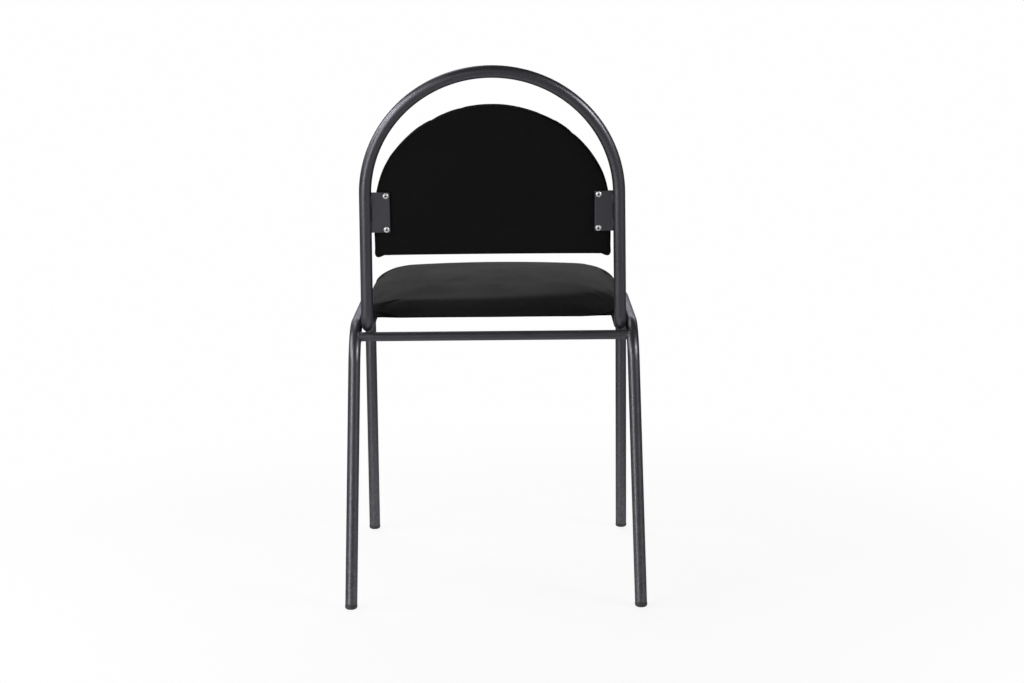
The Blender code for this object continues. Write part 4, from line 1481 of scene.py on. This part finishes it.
def puff(piece, held, pad):
    # the cover blown up from inside by cloth simulation, with a cap on each point's way
    group = piece.vertex_groups.new(name="held")
    for number, weight in enumerate(held):
        if weight > 0:
            group.add([number], float(weight), "REPLACE")
    before = np.array([vertex.co for vertex in piece.data.vertices])
    cloth = piece.modifiers.new("puff", "CLOTH")
    for key, value in coverCloth.items():
        setattr(cloth.settings, key, value)
    cloth.settings.uniform_pressure_force = pad["pressure"]
    cloth.settings.vertex_group_mass = "held"
    cloth.settings.effector_weights.gravity = 0
    cloth.collision_settings.use_collision = False
    for number in range(1, puffFrames + 1):
        scene.frame_set(number)
    graph = bpy.context.evaluated_depsgraph_get()
    after = np.array([vertex.co for vertex in piece.evaluated_get(graph).data.vertices])
    piece.modifiers.remove(cloth)
    scene.frame_set(1)
    moved = after - before
    way = np.linalg.norm(moved, axis=1, keepdims=True)
    moved *= np.minimum(1, pad["cap"] / np.maximum(way, 1e-9))
    print(piece.name, "puffed, most", round(float(way.max()) * 1000, 1), "mm before the cap")
    return before + moved


def setPoints(piece, points):
    piece.data.vertices.foreach_set("co", np.asarray(points, np.float32).ravel())
    piece.data.update()


def readPoints(piece, key="co"):
    values = np.empty(len(piece.data.vertices) * 3, np.float32)
    piece.data.vertices.foreach_get(key, values)
    return values.reshape(-1, 3).astype(float)


def spansOf(points):
    return [(points[:, axis].min(), points[:, axis].max()) for axis in range(3)]


def subdivide(piece):
    fine = piece.modifiers.new("fine", "SUBSURF")
    fine.levels = fine.render_levels = 1
    graph = bpy.context.evaluated_depsgraph_get()
    mesh = bpy.data.meshes.new_from_object(piece.evaluated_get(graph))
    piece.modifiers.remove(fine)
    piece.vertex_groups.clear()
    old = piece.data
    piece.data = mesh
    bpy.data.meshes.remove(old)
    mesh.name = piece.name


def fitSpan(values, low, high):
    # stretch one coordinate so that it spans low to high
    return low + (values - values.min()) * (high - low) / (values.max() - values.min())


def smoothStep(values, low, high):
    share = np.clip((values - low) / (high - low), 0, 1)
    return share * share * (3 - 2 * share)


def toWorld(points, place):
    turn = np.array(place.to_3x3())
    return points @ turn.T + np.array(place.translation)


def bell(values, width):
    return np.exp(-((values / width) ** 2))


def seatFolds(points):
    # how far the cover stands out: tucked rear corners and gathers round the front ones
    pad = seatPad
    x, y, z = points.T
    out = np.zeros(len(points))
    for startX, startZ, endX, endZ in pad["tucks"]:
        run = (startX - x) / (startX - endX)
        inside = smoothStep(run, *pad["tuckStart"]) * (1 - smoothStep(run, *pad["tuckEnd"]))
        inside *= (y > pad["tuckBehind"]) & (x * startX > 0)
        below = startZ + (endZ - startZ) * np.clip(run, 0, 1) ** pad["tuckCurve"] - z
        recess = smoothStep(below, *pad["tuckUpper"]) * (1 - smoothStep(below, *pad["tuckLower"]))
        recess *= smoothStep(z, *pad["tuckFloor"])
        ridge = pad["tuckRidge"] * bell(below + pad["ridgeRise"], pad["ridgeWidth"])
        out += inside * (ridge - pad["tuckDepth"] * recess)
    front = pad["frontCorner"]
    away = np.column_stack([np.abs(x) - (pad["half"] - front), front - seatDeep - y])
    angle = np.arctan2(away[:, 1], away[:, 0])
    corner = smoothStep(np.minimum(away[:, 0], away[:, 1]), *pad["gatherReach"])
    wave = np.sin(pad["gathers"] * angle + pad["gatherTurn"] * np.sign(x))
    pinch = np.abs(wave) ** pad["gatherPower"]
    return out - corner * pad["gatherDepth"] * pinch * (1 - smoothStep(z, *pad["gatherTop"]))


def seatSlope(points):
    # how far the top of the seat falls near its rear edge
    pad = seatPad
    x, y, z = points.T
    away = seatDeep + pad["rearBow"] * (1 - (x / pad["half"]) ** 2) - y
    share = np.clip(away, 0, None) / pad["rearSlopeAt"]
    fall = share * np.exp(1 - share) * np.clip((z - pad["side"]) / pad["shoulder"], 0, 1)
    return -pad["rearSlope"] * fall * (1 + pad["rearTilt"] * x / pad["half"])


def backSeam(points):
    # the seam that runs round the side, drawn in with small puckers
    pad = backPad
    x, y, z = points.T
    wave = np.sin(2 * math.pi * (np.abs(x) * pad["puckerSlant"] + y) / pad["pucker"])
    pucker = 1 - pad["puckerShare"] + pad["puckerShare"] * wave
    middle = np.hypot(x / backHalf, (y - pad["straight"]) / (backHeight - pad["straight"]))
    upper = smoothStep(middle, *pad["seamTop"])
    lower = smoothStep(np.abs(x), *(backHalf - inset for inset in pad["seamSide"]))
    side = np.where(y > pad["straight"], upper, lower)
    side = np.maximum(side, 1 - smoothStep(y, *pad["seamFoot"]))
    return -side * pad["seamDepth"] * pucker * bell(z - pad["seam"], pad["seamWidth"])


def makeBackCushion():
    pad = backPad
    place = archFrame @ Matrix.Translation((0, pad["rise"], pad["base"]))
    hem = pad["hem"]
    profile = [(hem + inset, 0.0) for inset in pad["hemSteps"]]
    profile += [(hem, pad["hemDepth"]), (hem - pad["hemSteps"][-1], 0.0), (pad["roll"], 0.0)]
    profile += shoulderProfile(pad)
    shape = newShape()
    rings = [backOutline(inset, max(0, 1 - inset / pad["reach"])) for inset, _ in profile]
    heights = [height for _, height in profile]
    rows = addSkin(shape, rings, heights)
    addPatch(shape, rows[0], rings[0], levelAt(0.0), True)
    addPatch(shape, rows[-1], rings[-1], crownOver(rings[-1], heights[-1], pad["crown"]), False)
    skinCount = len(shape["points"])
    # the room for the board inside
    room = backOutline(pad["boardInset"] - steel["fit"], 0)
    roomFloor = pad["boardLift"] - steel["fit"]
    roomTop = pad["boardLift"] + pad["board"] + steel["fit"]
    lower = addRing(shape, withHeight(room, roomFloor))
    upper = addRing(shape, withHeight(room, roomTop))
    bridge(shape, upper, lower)
    addPatch(shape, lower, room, levelAt(roomFloor), False)
    addPatch(shape, upper, room, levelAt(roomTop), True)
    nodes = ["back_cover_front", "back_cover_rear", "back_foam"]
    piece = addPiece("backCushion", shape, fabric, nodes, sharpAngle=0)
    start = readPoints(piece)
    size = spansOf(start)
    held = np.where(start[:, 2] < pad["heldBelow"], 1.0, 0.0)
    held[skinCount:] = 1.0
    points = puff(piece, held, pad)
    for axis in range(3):
        points[:skinCount, axis] = fitSpan(points[:skinCount, axis], *size[axis])
    setPoints(piece, points)
    subdivide(piece)
    points = readPoints(piece)
    points += readPoints(piece, "normal") * backSeam(points)[:, None]
    piece.data.shade_smooth()
    setPoints(piece, toWorld(points, place))


def makeSeatCushion():
    pad = seatPad
    place = Matrix.Translation(spot(0, pad["forward"], pad["base"]))
    room = pad["boardInset"] - steel["fit"]
    roomFloor = pad["boardLift"] - steel["fit"]
    under = pad["roll"] + pad["lip"]
    # from the room for the board, round the lip below it and out to the side
    profile = [(room, pad["boardLift"] + pad["board"] + steel["fit"]), (room, roomFloor), (under, roomFloor)]
    profile += [(under - step, 0.0) for step in pad["lipSteps"]]
    profile += [(pad["roll"] + pad["rollStart"], 0.0), (pad["roll"], 0.0)]
    heldRings = len(profile)
    profile += shoulderProfile(pad)
    shape = newShape()
    rings = [seatOutline(inset) for inset, _ in profile]
    heights = [height for _, height in profile]
    rows = addSkin(shape, rings, heights)
    addPatch(shape, rows[-1], rings[-1], crownOver(rings[-1], heights[-1], pad["crown"]), False)
    skinCount = len(shape["points"])
    addPatch(shape, rows[0], rings[0], levelAt(heights[0]), True)
    nodes = ["seat_cover", "seat_foam"]
    piece = addPiece("seatCushion", shape, leatherette, nodes, sharpAngle=0)
    start = readPoints(piece)
    size = spansOf(start)
    loose = slice(heldRings * len(rings[0]), skinCount)
    held = np.ones(len(start))
    held[loose] = 0.0
    points = puff(piece, held, pad)
    for axis in range(2):
        points[loose, axis] = fitSpan(points[loose, axis], *size[axis])
    points[loose, 2] *= size[2][1] / points[loose, 2].max()
    setPoints(piece, points)
    subdivide(piece)
    points = readPoints(piece)
    points += readPoints(piece, "normal") * seatFolds(points)[:, None]
    points[:, 2] += seatSlope(points)
    piece.data.shade_smooth()
    setPoints(piece, toWorld(points, place))


makeBackCushion()
makeSeatCushion()
print("cushions done")


liningSheet = {"edge": 0.004, "heights": (0.0, 0.0002, 0.0008, 0.0011)}


def makeLiningPiece():
    place = Matrix.Translation(spot(0, seatPad["forward"], seatPad["base"]))
    inset = seatPad["roll"] + seatPad["lip"] + steel["fit"]
    rim, inner = seatOutline(inset), seatOutline(inset + liningSheet["edge"])
    heights = liningSheet["heights"]
    shape = newShape()
    rows = addSkin(shape, (inner, rim, rim, inner), heights)
    addPatch(shape, rows[0], inner, levelAt(heights[0]), True)
    addPatch(shape, rows[-1], inner, levelAt(heights[-1]), False)
    shape["points"] = [tuple(place @ Vector(point)) for point in shape["points"]]
    addPiece("seatUnderLining", shape, lining, ["seat_dust_cover"])


makeLiningPiece()
for name, material in (("board", plywood), ("tee_nut", zinc)):
    for node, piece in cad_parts.items():
        if name in node:
            piece.data.materials.clear()
            piece.data.materials.append(material)
print("lining and inner parts finished")

# floor, lights and camera
studio = {
    "floor": 14.0,
    "floorDrop": 0.0004,
    "floorRoughness": 0.9,
    "floorGrey": 0.36,
    "floorPale": 0.93,
    "white": 0.995,
    "ambient": 0.13,
    "overhead": 0.02,
    "dimReach": (0.02, 0.4),
    "glossyShare": 0.055,
    "glossyNear": 0.55,
    "nearReach": (0.25, 0.75),
    "shadowShare": 0.14,
    "shadowReach": (0.45, 1.1),
    "aim": (0, 0, 0.45),
}


def rayShare(tree, glossyShare):
    # how far a ray sees the plain white surround
    path = addNode(tree, "LightPath").outputs
    seen = calc(tree, "MAXIMUM", path["Is Camera Ray"], path["Is Transmission Ray"])
    return calc(tree, "MAXIMUM", seen, calc(tree, "MULTIPLY", path["Is Glossy Ray"], glossyShare))


def makeFloor():
    half = studio["floor"] / 2
    square = ((-1, -1), (1, -1), (1, 1), (-1, 1))
    corners = [(x * half, y * half, -studio["floorDrop"]) for x, y in square]
    mesh = bpy.data.meshes.new("studioFloor")
    mesh.from_pydata(corners, [], [(0, 1, 2, 3)])
    floor = bpy.data.objects.new("studioFloor", mesh)
    scene.collection.objects.link(floor)
    material = bpy.data.materials.new("paleFloor")
    material.use_nodes = True
    tree = material.node_tree
    surface = tree.nodes["Principled BSDF"]
    shades = [(studio[key], studio[key], studio[key], 1) for key in ("floorGrey", "floorPale")]
    seen = addNode(tree, "LightPath").outputs["Is Camera Ray"]
    tree.links.new(blendColour(tree, seen, *shades), surface.inputs["Base Color"])
    surface.inputs["Roughness"].default_value = studio["floorRoughness"]
    surface.inputs["Specular IOR Level"].default_value = 0.0
    glow = addNode(tree, "Emission", {"Color": (1, 1, 1, 1), "Strength": studio["white"]})
    # the shadow shows round the chair, and further out the floor is plain white
    spread = addNode(tree, "VectorMath", {0: addNode(tree, "TexCoord").outputs["Object"]}, operation="LENGTH")
    away = spread.outputs["Value"]
    plain = remap(tree, away, *studio["shadowReach"], 1 - studio["shadowShare"], 1.0)
    glossy = remap(tree, away, *studio["nearReach"], studio["glossyNear"], studio["glossyShare"])
    share = calc(tree, "MULTIPLY", rayShare(tree, glossy), plain)
    mix = addNode(tree, "MixShader", {0: share, 1: surface.outputs[0], 2: glow.outputs[0]})
    tree.links.new(mix.outputs[0], tree.nodes["Material Output"].inputs["Surface"])
    mesh.materials.append(material)


def makeWorld():
    world = bpy.data.worlds.new("studio")
    scene.world = world
    world.use_nodes = True
    tree = world.node_tree
    back = tree.nodes["Background"]
    back.inputs["Color"].default_value = (1, 1, 1, 1)
    # the light from all round grows dim overhead
    height = addNode(tree, "SeparateXYZ", {0: addNode(tree, "TexCoord").outputs["Generated"]}).outputs["Z"]
    ambient = remap(tree, height, *studio["dimReach"], studio["ambient"], studio["overhead"])
    seen = calc(tree, "SUBTRACT", studio["white"], ambient)
    level = calc(tree, "MULTIPLY_ADD", rayShare(tree, studio["glossyShare"]), seen, ambient)
    tree.links.new(level, back.inputs["Strength"])


softboxes = {
    "leftStrip": {"place": (1.02, 1.2, 0.5), "size": (0.5, 1.0), "power": 6.0},
    "rightStrip": {"place": (-1.16, 1.04, 0.5), "size": (0.4, 1.0), "power": 0.6},
    "leftCard": {"place": (1.0, 4.0, 1.5), "size": (1.1, 1.6), "power": 3.8},
    "rightCard": {"place": (-1.0, 4.0, 1.5), "size": (1.1, 1.6), "power": 0.8},
    "leftHigh": {"place": (2.1, 1.6, 1.65), "size": (0.6, 0.8), "power": 19},
    "rightHigh": {"place": (-2.3, 1.25, 1.75), "size": (1.0, 0.7), "power": 34},
    "leftSoftbox": {"place": (2.1, 0.1, 1.6), "size": (1.2, 1.0), "power": 22},
    "topLight": {"place": (0.7, -1.2, 2.35), "size": (0.8, 0.8), "power": 9},
    "frontWindow": {"place": (0.0, -2.7, 1.5), "size": (3.6, 1.0), "power": 56},
}


def makeLights():
    for name, box in softboxes.items():
        light = bpy.data.lights.new(name, "AREA")
        light.shape = "RECTANGLE"
        light.size, light.size_y = box["size"]
        light.energy = box["power"]
        lamp = bpy.data.objects.new(name, light)
        lamp.location = box["place"]
        aim = Vector(studio["aim"]) - lamp.location
        lamp.rotation_euler = aim.to_track_quat("-Z", "Y").to_euler()
        lamp.visible_camera = False
        scene.collection.objects.link(lamp)


photoView = {
    "place": (-0.02775, 2.98698, 0.8948),
    "lens": 67.5,
    "sensor": 36,
    "pitch": 0.17754,
    "yaw": -0.00025,
    "roll": -0.00891,
}


def makeCamera():
    pitch, yaw, roll = photoView["pitch"], photoView["yaw"], photoView["roll"]
    ahead = Vector((-math.sin(yaw) * math.cos(pitch), -math.cos(yaw) * math.cos(pitch), -math.sin(pitch)))
    right = Vector((-math.cos(yaw), math.sin(yaw), 0))
    up = right.cross(ahead)
    across = right * math.cos(roll) + up * math.sin(roll)
    upright = up * math.cos(roll) - right * math.sin(roll)
    lens = bpy.data.cameras.new("photoCamera")
    lens.sensor_fit = "HORIZONTAL"
    lens.sensor_width = photoView["sensor"]
    lens.lens = photoView["lens"]
    camera = bpy.data.objects.new("photoCamera", lens)
    matrix = Matrix((across, upright, -ahead)).transposed().to_4x4()
    matrix.translation = photoView["place"]
    camera.matrix_world = matrix
    scene.collection.objects.link(camera)
    scene.camera = camera


makeFloor()
makeWorld()
makeLights()
makeCamera()
scene.view_settings.view_transform = "Standard"
print("studio set")
